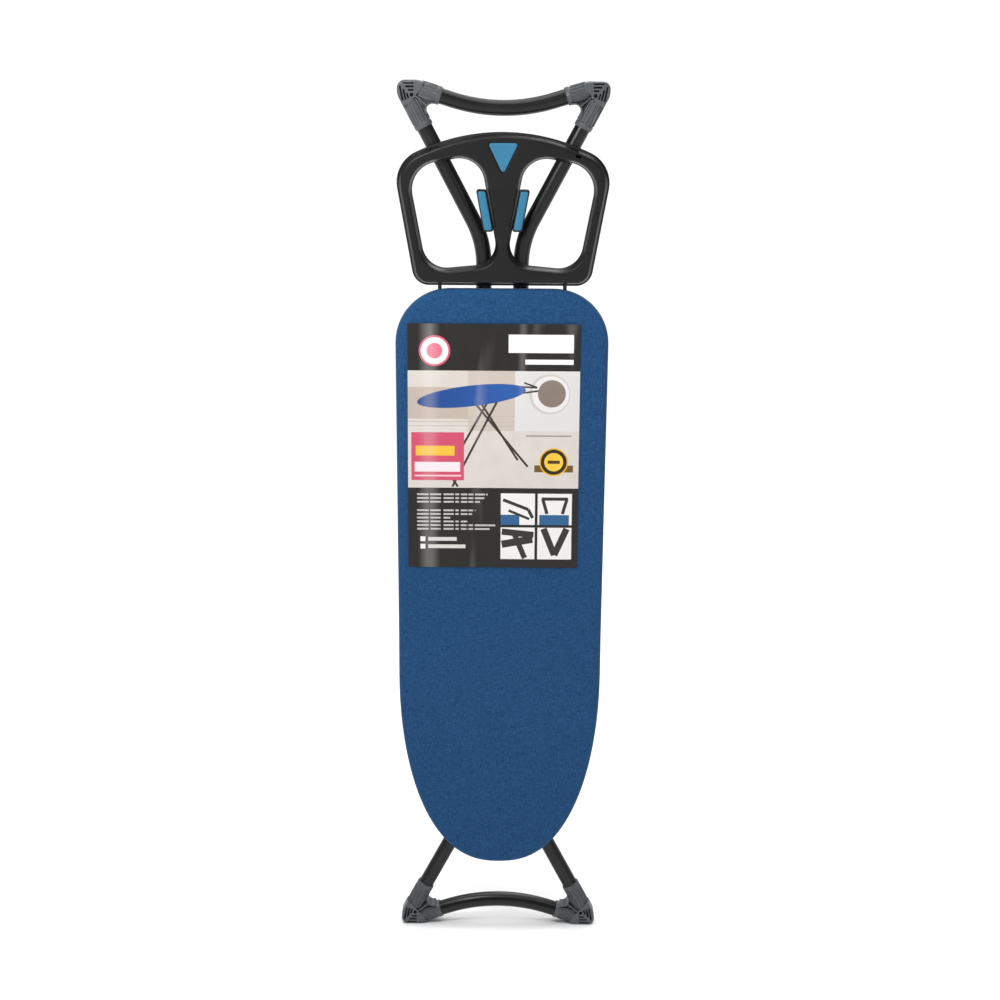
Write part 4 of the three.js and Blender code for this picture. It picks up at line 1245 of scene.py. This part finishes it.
def heel(shape):
    loop = resampled(rounded_loop(HEEL_CORNERS, 8), 180)
    rounding = [(2.4, 15.5), (1.2, 15.3), (0.4, 14.6), (0, 13.5)]
    profile = [(inward, -y) for inward, y in rounding] + rounding[::-1]
    rows = shape.wall(loop, profile)
    for rim, y, inward in ((rows[0], -HEEL_HALF, 1), (rows[-1], HEEL_HALF, -1)):
        loops = [slot_loop(*slot) for slot in HEEL_SLOTS]
        pits = [shape.wall(pit, [(0, y), (0.2, y + inward * 0.3), (0.3, y + inward * 13)]) for pit in loops]
        shape.field(rim, [pit[0] for pit in pits], 4.0, lambda x, z, y=y: y)
        for pit in pits:
            shape.field(pit[-1], [], 60.0, lambda x, z: 0.0)


def off_axis(way, along, beside):
    """A point at a distance along one socket, moved sideways toward the other socket."""
    other = BAR_WAY if way is LEG_WAY else LEG_WAY
    sideways = (other - way * other.dot(way)).normalized()
    spot = way * along + sideways * beside
    return (spot.x, spot.z)


def crotch(shape):
    """A thin web between the sockets, closed by a round wall and stiffened by one rib."""
    corners = [
        (20, 14, 2),
        (*off_axis(BAR_WAY, 66, 12), 1),
        (*off_axis(BAR_WAY, 66, 15.5), 0.5),
        (31.1, 25.7, 11.5),
    ]
    corners += [(*off_axis(LEG_WAY, 74, 15.5), 0.5), (*off_axis(LEG_WAY, 74, 12), 1)]
    slab(shape, resampled(rounded_loop(corners, 10), 140), -3.0, 3.0, 0.6, 5.0)
    middle = (BAR_WAY + LEG_WAY).normalized()
    half_angle = math.acos(BAR_WAY.dot(LEG_WAY)) / 2
    centre = middle * ((15.5 + 11.5) / math.sin(half_angle))
    toward = math.atan2(-middle.z, -middle.x)
    turns = [toward + (math.pi / 2 - half_angle) * (k / 14 - 1) for k in range(29)]
    wall = [(centre.x + 11.5 * math.cos(turn), centre.z + 11.5 * math.sin(turn)) for turn in turns]
    for turn in reversed(turns):
        wall.append((centre.x + 14.2 * math.cos(turn), centre.z + 14.2 * math.sin(turn)))
    rows = [shape.add_ring(np.array(wall), y) for y in (-14.4, 14.4)]
    shape.bridge(*rows)
    for row in rows:
        shape.field(row, [], 50.0, lambda x, z: 0.0)
    apex = centre - middle * 12.5
    for front in (-14.2, 2.0):
        rib(shape, 23, 19, apex.x, apex.z, front, front + 12.2, 1.2)


def elbow_points():
    shape = Shape()
    socket(shape, LEG_WAY, 84.0, 16)
    socket(shape, BAR_WAY, 71.0, 16)
    heel(shape)
    crotch(shape)
    return shape


ELBOW = elbow_points()
print("one elbow has", len(ELBOW.faces), "faces")

# %% [markdown]
# The two elbows of the nose foot are flat on the floor, although the board leans, because they were
# cut for that. Any point that would lie below the floor is lifted onto it.

# %% Fit the four elbows
for leg, foot, x, end_z, corner_z, footward in LEG_SETS:
    for side, name in ((-1, "left"), (1, "right")):
        shape = Shape()
        shape.faces = list(ELBOW.faces)
        for ex, ey, ez in ELBOW.points:
            shape.points.append((side * (FOOT_X - ex), ey, corner_z - footward * ez))
        node = f"{foot}_corner_{name}"
        elbow = make_piece(node + "_elbow", shape, grey_plastic, leg + "_leg", [node], 38)
        for vertex in elbow.data.vertices:
            vertex.co.z = max(vertex.co.z, 0.0)

# %% [markdown]
# ## Finishes for the steel parts of the model
#
# The frame, the cross bars, the rack, the brackets and the small hardware are right as they are. Each
# takes the finish of its slot. Two modifiers help them: a weld joins the split corners of the loaded
# mesh, and a narrow bevel breaks every sharp edge, because no pressed or moulded edge is truly sharp.

# %% Dress the parts that stay
FINISHES = {
    "black_paint": black_paint,
    "grey_plastic": grey_plastic,
    "black_plastic": black_plastic,
    "blue_plastic": blue_plastic,
    "blue_cloth": blue_cloth,
    "felt": felt,
    "printed_card": card_print,
    "bare_steel": zinc,
}
dressed = 0
for part in frame["record"]["subparts"]:
    node = frame["nodes"][part["node"]]
    node.data.materials.clear()
    node.data.materials.append(FINISHES[part["material_slot"]].material)
    if node.hide_render:
        continue
    weld = node.modifiers.new("weld", "WELD")
    weld.merge_threshold = 0.00002
    bevel = node.modifiers.new("edge", "BEVEL")
    bevel.width = 0.0004
    bevel.segments = 2
    bevel.limit_method = "ANGLE"
    bevel.angle_limit = math.radians(40)
    dressed += 1
print(dressed, "parts of the model keep their shape")

# %% [markdown]
# ## How far the dressed board reaches
#
# The dressed board has to stay about the size of the imported model. For each axis, how far the dressed board
# reaches beyond the imported model's box is printed.

# %% Print the sizes
low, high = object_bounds()
for axis in range(3):
    below = round(cad_low[axis] - low[axis], 4)
    above = round(high[axis] - cad_high[axis], 4)
    print("xyz"[axis], below, above, "m beyond")
